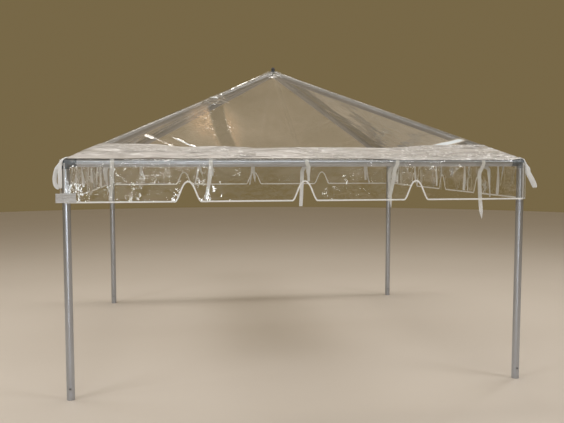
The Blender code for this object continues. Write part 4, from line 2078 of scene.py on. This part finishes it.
@dataclass
class CornerLoop:
    """A loop of webbing that hangs outside one corner.

    It leans off the upright, turns between its top and its foot, bulges, sways and fans out
    across its own face, is pinched at the foot, and can kick outward there.
    """

    sizes: TentSizes
    corner: Corner
    lean: float
    turn: float
    bulge: float
    top_turn: float = 90.0
    lift: float = 0.0
    hang: float = 1.0
    sway: float = 0.0
    fan: float = 0.0
    pinch: float = 0.1
    kick: float = 0.0
    width: float = 0.025
    thick: float = 0.0013
    stand_off: float = 0.001
    apart: float = 0.0008
    layers_off: float = 2.5
    steps: int = 72
    tab_steps: tuple[int, int] = (14, 5)
    tab_back: Pair = (0.004, 0.024)
    tab_front: float = -0.5

    def build(self) -> Thing:
        """Make the loop.

        Returns:
            The loop, with the tab that it is sewn on by.
        """
        length = (self.sizes.loop_top - self.sizes.loop_foot) * self.hang
        around = np.linspace(0, 2 * math.pi, self.steps)
        down = (1 - np.cos(around)) / 2
        belly = np.sin(around) * (0.15 + 0.85 * down**0.8)
        side = self.bulge * belly + np.sign(np.sin(around)) * self.apart + self.sway * down**2
        forth = -2 * self.fan * np.clip(-belly, 0, None) - self.kick * np.clip(down - 0.4, 0, None)
        path = np.stack([side, forth, -length * down], axis=-1)
        width = self.width * (1 - self.pinch * hump(around - math.pi, 0.28))
        across = np.tile([0.0, -1.0, 0.0], (self.steps, 1))
        swing = np.radians(self.top_turn + (self.turn - self.top_turn) * smooth(down, 0.0, 0.35))
        path, across = self._swung(path, swing), self._swung(across, swing)
        path[:, 1] -= self.width / 2 * np.abs(np.cos(swing))
        pile = Pile()
        strap(pile, self._placed(path), self._placed(across, False), width, self.thick)
        self._tab(pile)
        webbing = Webbing("loop_webbing", self.width / 2)
        loop = pile.made(f"webbing_loop_{self.corner.label}", webbing, Slot.WEBBING)
        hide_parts(f"corner_loop_{self.corner.label}")
        return loop

    def _tab(self, pile: Pile) -> None:
        """Add the tab, which comes down off the band's corner and round the eave.

        Args:
            pile: What it is added to.
        """
        radius = self.sizes.fold_radius + self.stand_off + self.thick / 2
        climb = math.atan(self.sizes.pitch / math.sqrt(2))
        turn = np.linspace(self.tab_front, math.pi / 2 - climb, self.tab_steps[0])
        run = np.linspace(*self.tab_back, self.tab_steps[1])
        rise, level = math.sin(climb), math.cos(climb)
        out = np.concatenate([np.cos(turn) * radius, rise * radius - run * level])
        up = np.concatenate([np.sin(turn) * radius, level * radius + run * rise])
        reach = (self.sizes.half_span * math.sqrt(2) + out) / math.sqrt(2)
        path = np.stack([-reach, -reach, self.sizes.eave_height + up], axis=-1)
        across = np.tile([1.0, -1.0, 0.0], (len(path), 1))
        width = np.full(len(path), self.width)
        strap(pile, self.corner.turned(path), self.corner.turned(across), width, self.thick)

    @staticmethod
    def _swung(points: Array, angle: Array) -> Array:
        """Points turned about the loop's own upright line.

        Args:
            points: Their places.
            angle: How far each is turned.

        Returns:
            The turned places.
        """
        x, y, z = points.T
        cosine, sine = np.cos(angle), np.sin(angle)
        return np.stack([x * cosine - y * sine, x * sine + y * cosine, z], axis=-1)

    def _placed(self, points: Array, moved: bool = True) -> Array:
        """Take the loop's own places to its corner.

        Args:
            points: Places or directions, whose -y is outward.
            moved: Whether they are places, which move to the corner, or only turn.

        Returns:
            The same in the tent's frame.
        """
        lean = math.radians(self.lean)
        x, y, z = points.T
        leaned_y = y * math.cos(lean) + z * math.sin(lean)
        leaned_z = z * math.cos(lean) - y * math.sin(lean)
        reach = 0.0
        if moved:
            reach = self.sizes.half_span * math.sqrt(2) + self.sizes.fold_radius + self.stand_off
            reach += self.layers_off * self.thick
        outward = np.array([-1.0, -1.0, 0.0]) / math.sqrt(2)
        sideways = np.array([1.0, -1.0, 0.0]) / math.sqrt(2)
        rise = self.sizes.loop_top + self.lift if moved else 0.0
        made = (
            sideways * x[:, None]
            + outward * (reach - leaned_y)[:, None]
            + np.array([0.0, 0.0, 1.0]) * (leaned_z + rise)[:, None]
        )
        return self.corner.turned(made)


@dataclass
class CornerFlap:
    """The doubled whitish end of film at the foot of the front left corner."""

    sizes: TentSizes
    beyond: float = 0.052
    inside: float = 0.070
    tall: float = 0.060
    above_foot: float = 0.003
    off_tape: float = 0.0022
    rumple: float = 0.003
    curl: float = 0.010
    sweep: float = 0.25
    columns: int = 40
    rows: int = 16
    waves: Ripple = field(default_factory=lambda: Ripple(61))

    def build(self, front: Valance) -> Thing:
        """Make the flap against the front valance.

        Args:
            front: The valance that it hangs on.

        Returns:
            The flap.
        """
        corner = -self.sizes.film_half
        even = np.linspace(corner - self.beyond, corner + self.inside, self.columns)
        low = self.sizes.valance_foot + self.above_foot
        share = np.linspace(0, 1, self.rows)[:, None]
        x = np.broadcast_to(even, (self.rows, self.columns))
        top = self.tall * (1 + 0.12 * self.waves.at(even / 0.035, 0.0))
        z = low + share * top
        held = front.out(np.maximum(x, corner), np.maximum(z, self.sizes.valance_foot))
        held = held + self.off_tape
        past = np.clip(corner - x, 0, None)
        rumple = self.rumple * (0.5 + 0.5 * self.waves.layered(x / 0.035, z / 0.03, 2))
        curl = self.curl * smooth(past, 0.0, 0.05) - self.sweep * past
        points = np.stack([x, -(held + rumple + curl), z], axis=-1)
        pile = Pile()
        pile.grid(points, marks={"crumple": np.full(x.shape, 0.45), "hem_highlight": np.zeros(x.shape)})
        finish = WhiteFilm("doubled_white_film", pale=(0.54, 0.54, 0.545), wrinkle_shade_grey=(0.43, 0.425, 0.43))
        flap = pile.made("corner_flap", finish, Slot.WHITE)
        self.beyond + self.inside
        return flap


@dataclass
class Framework:
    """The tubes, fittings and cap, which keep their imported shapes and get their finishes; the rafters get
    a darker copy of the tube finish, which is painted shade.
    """

    casting: CastFitting = CastFitting()
    moulding: MouldedCap = MouldedCap()
    # Darker copies of the tube colours for the rafters under the roof: painted shade.
    rafter_shaded_bright: Colour = (0.29, 0.295, 0.31)
    rafter_shaded_dull: Colour = (0.19, 0.195, 0.205)

    def dress(self) -> None:
        """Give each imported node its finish."""
        rise = self._hip_axis()
        tubes = {f"leg_{corner.label}": ("z", (0.0, 0.0, 1.0)) for corner in Corner}
        axes = (("x", (1.0, 0.0, 0.0)), ("y", (0.0, 1.0, 0.0)))
        for side in Side:
            tubes[f"eave_beam_{side.label}"] = axes[side.value % 2]
        for corner in Corner:
            way = corner.turned(np.array(rise))
            tubes[f"hip_rafter_{corner.label}"] = (f"hip_{corner.label}", tuple(way.tolist()))
        for node, (label, axis) in tubes.items():
            tube = DrawnTube(f"drawn_tube_{label}", axis)
            # The rafters take the darker colours: painted shade on the same tube.
            if node.startswith("hip"):
                tube = replace(tube, bright=self.rafter_shaded_bright, dull=self.rafter_shaded_dull)
            self._paint(node, tube)
        for corner in Corner:
            self._paint(f"corner_fitting_{corner.label}", self.casting)
        self._paint("crown_fitting", self.casting)
        self._paint("peak_cap", self.moulding)

    @staticmethod
    def _hip_axis() -> Spot:
        """The direction of the front left rafter.

        Returns:
            A vector one metre long.
        """
        low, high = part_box("hip_rafter_front_left")
        way = (high - low).normalized()
        return (way.x, way.y, way.z)

    @staticmethod
    def _paint(node: str, finish: Finish) -> None:
        """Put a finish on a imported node.

        Args:
            node: The node's name.
            finish: The finish.
        """
        mesh = frame["nodes"][node].data
        mesh.materials.clear()
        mesh.materials.append(finish.material())
        LOG.info("%s: finished as %s", node, finish.name)


@dataclass(frozen=True)
class Lamp:
    """A soft rectangular lamp: where it is, what it faces, its sides and how bright it looks."""

    name: str
    place: Spot
    aim: Spot
    size: Pair
    radiance: float
    colour: Colour = (1.0, 0.97, 0.92)


@dataclass
class Studio:
    """The floor, the plain surroundings, the lamps and the camera."""

    floor_radius: float = 16.0
    floor_sides: int = 96
    floor_drop: float = 0.0005
    camera_place: Spot = (-0.809, -5.949, 1.520)
    camera_yaw: float = 8.48
    camera_pitch: float = -4.32
    lens: float = 44.3
    surround: Colour = (0.185, 0.138, 0.064)
    overhead: Colour = (0.45, 0.40, 0.33)
    overhead_from: float = 0.40
    high_ring: float = 4.9
    high_up: float = 4.6
    high_degrees: tuple[int, ...] = (15, 150, 205)

    def build(self) -> None:
        """Make it all."""
        self._floor()
        self._world()
        self._camera()
        for lamp in self._lamps():
            self._light(lamp)
        bpy.context.scene.view_settings.view_transform = "Standard"

    def _floor(self) -> None:
        """A round pale floor."""
        turn = np.linspace(0, 2 * math.pi, self.floor_sides, endpoint=False)
        points = np.stack([np.cos(turn), np.sin(turn), turn * 0], axis=-1) * self.floor_radius
        mesh = bpy.data.meshes.new("studio_floor")
        mesh.from_pydata(points.tolist(), [], [tuple(range(self.floor_sides))])
        mesh.materials.append(PaleFloor().material())
        floor = bpy.data.objects.new("studio_floor", mesh)
        floor.location.z = -self.floor_drop
        bpy.context.scene.collection.objects.link(floor)

    def _world(self) -> None:
        """Plain surroundings, paler overhead."""
        world = bpy.data.worlds.new("studio")
        bpy.context.scene.world = world
        world.use_nodes = True
        graph = Graph(world.node_tree)
        way = graph.node("ShaderNodeTexCoord", out="Generated")
        share = graph.part(way, "Z").step(self.overhead_from, 1.0)
        colour = graph.blended(share, self.surround, self.overhead)
        light = graph.node("ShaderNodeBackground", None, {"Color": colour, "Strength": 1.0})
        graph.finish(light, "ShaderNodeOutputWorld")

    def _camera(self) -> None:
        """The camera at the photo's place and angle."""
        yaw, pitch = math.radians(self.camera_yaw), math.radians(self.camera_pitch)
        ahead = Vector(
            (math.sin(yaw) * math.cos(pitch), math.cos(yaw) * math.cos(pitch), math.sin(pitch))
        )
        data = bpy.data.cameras.new("photo_camera")
        data.lens = self.lens
        camera = bpy.data.objects.new("photo_camera", data)
        camera.location = self.camera_place
        camera.rotation_mode = "QUATERNION"
        camera.rotation_quaternion = ahead.to_track_quat("-Z", "Y")
        bpy.context.scene.collection.objects.link(camera)
        bpy.context.scene.camera = camera

    def _lamps(self) -> list[Lamp]:
        """The lamps.

        Returns:
            Soft ones high at the sides, tall ones beside the camera, strips over the eave and
            the roof, and narrow ones high all round, which the film mirrors.
        """
        cool, plain = (0.90, 0.95, 1.0), (0.97, 0.98, 1.0)
        lamps = [
            Lamp("key_left", (-6.4, -5.0, 6.5), (0.0, 0.0, 0.8), (2.5, 2.5), 8.6, plain),
            Lamp("key_right", (6.4, -5.0, 6.5), (0.0, 0.0, 0.8), (2.5, 2.5), 8.6, plain),
            Lamp("rear_left", (-5.4, 0.8, 6.0), (0.0, 0.0, 0.5), (2.2, 2.2), 5.0, plain),
            Lamp("rear_right", (5.4, 0.8, 6.0), (0.0, 0.0, 0.5), (2.2, 2.2), 5.0, plain),
            Lamp("camera_side", (-0.82, -6.3, 1.0), (-0.30, 0.0, 1.0), (0.18, 1.4), 22.0, cool),
            Lamp("window_left", (-2.3, -6.6, 1.2), (-1.5, 0.0, 1.2), (0.35, 1.4), 9.0, cool),
            Lamp("eave_strip", (0.0, -6.4, 6.3), (0.0, -1.5, 1.5), (5.4, 0.8), 3.8, cool),
            Lamp("front_soft", (-1.0, -9.6, 3.4), (0.0, 0.0, 1.4), (9.0, 4.4), 0.3, cool),
            Lamp("rear_high", (-0.1, 4.6, 5.4), (0.0, 0.0, 1.5), (0.25, 0.9), 6.0),
            Lamp("high_strip", (0.2, 1.2, 7.0), (0.0, -1.4, 1.5), (4.2, 1.1), 7.0),
        ]
        for number, degrees in enumerate(self.high_degrees):
            turn = math.radians(degrees)
            place = (self.high_ring * math.cos(turn), self.high_ring * math.sin(turn), self.high_up)
            lamps.append(Lamp(f"high_{number}", place, (0.0, 0.0, 1.5), (0.22, 0.9), 20.0))
        return lamps

    @staticmethod
    def _light(lamp: Lamp) -> None:
        """Make one lamp, whose power follows from how bright its face looks.

        Args:
            lamp: What it is like.
        """
        data = bpy.data.lights.new(lamp.name, "AREA")
        data.shape = "RECTANGLE"
        data.size, data.size_y = lamp.size
        data.energy = lamp.radiance * math.pi * lamp.size[0] * lamp.size[1]
        data.color = lamp.colour
        made = bpy.data.objects.new(lamp.name, data)
        made.location = lamp.place
        made.rotation_mode = "QUATERNION"
        way = Vector(lamp.aim) - Vector(lamp.place)
        made.rotation_quaternion = way.to_track_quat("-Z", "Y")
        made.visible_camera = False
        bpy.context.scene.collection.objects.link(made)


def corner_loops(sizes: TentSizes) -> tuple[CornerLoop, ...]:
    """The four loops, the front two as the photo shows them.

    Args:
        sizes: The sizes that they hang by.

    Returns:
        The loops, against the clock from the front left one.
    """
    front_left = CornerLoop(
        sizes,
        Corner.FRONT_LEFT,
        lean=0.0,
        turn=-35.0,
        bulge=0.012,
        top_turn=-90.0,
        lift=0.014,
        hang=0.92,
        fan=0.0215,
        pinch=0.3,
    )
    front_right = CornerLoop(
        sizes,
        Corner.FRONT_RIGHT,
        lean=2.0,
        turn=17.0,
        bulge=0.012,
        hang=0.92,
        fan=0.008,
        pinch=0.4,
        kick=0.077,
    )
    rear_right = CornerLoop(
        sizes, Corner.REAR_RIGHT, lean=9.0, turn=-20.0, bulge=0.022, top_turn=-90.0, sway=-0.006
    )
    rear_left = CornerLoop(
        sizes, Corner.REAR_LEFT, lean=15.0, turn=15.0, bulge=0.018, sway=0.008, fan=0.006
    )
    return front_left, front_right, rear_right, rear_left


def main() -> None:
    """Build the looks of the tent, in order."""
    logging.basicConfig(level=logging.INFO, format="%(name)s %(message)s")
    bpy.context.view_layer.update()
    sizes = TentSizes.measured()
    Studio().build()
    Framework().dress()
    shape = RoofShape(sizes, FRONT_FOLDS + packing_folds())
    roof = RoofFilm(sizes, shape)
    sheet, *welds = roof.build()
    roof.declare(sheet, welds)
    eave = EaveBand(sizes, shape)
    band = eave.build()
    front = Valance(sizes, Side.FRONT, FRONT_CRUSHES, pleated_end=0.65)
    others = [
        Valance(sizes, side, drawn_crushes(70 + side.value), pleated_end=0.3)
        for side in (Side.RIGHT, Side.REAR, Side.LEFT)
    ]
    hangers: list[Thing] = []
    for valance in (front, *others):
        side = valance.side
        film, tape = valance.build()
        valance.declare(film, tape, band)
        ties = FRONT_TIES if side is Side.FRONT else drawn_ties(sizes.half_span, 90 + side.value)
        hangers.append(Ties(sizes, side, ties).build())
    hangers.extend(loop.build() for loop in corner_loops(sizes))
    CornerFlap(sizes).build(front)
    eave.declare(band, hangers)


if __name__ == "__main__":
    main()
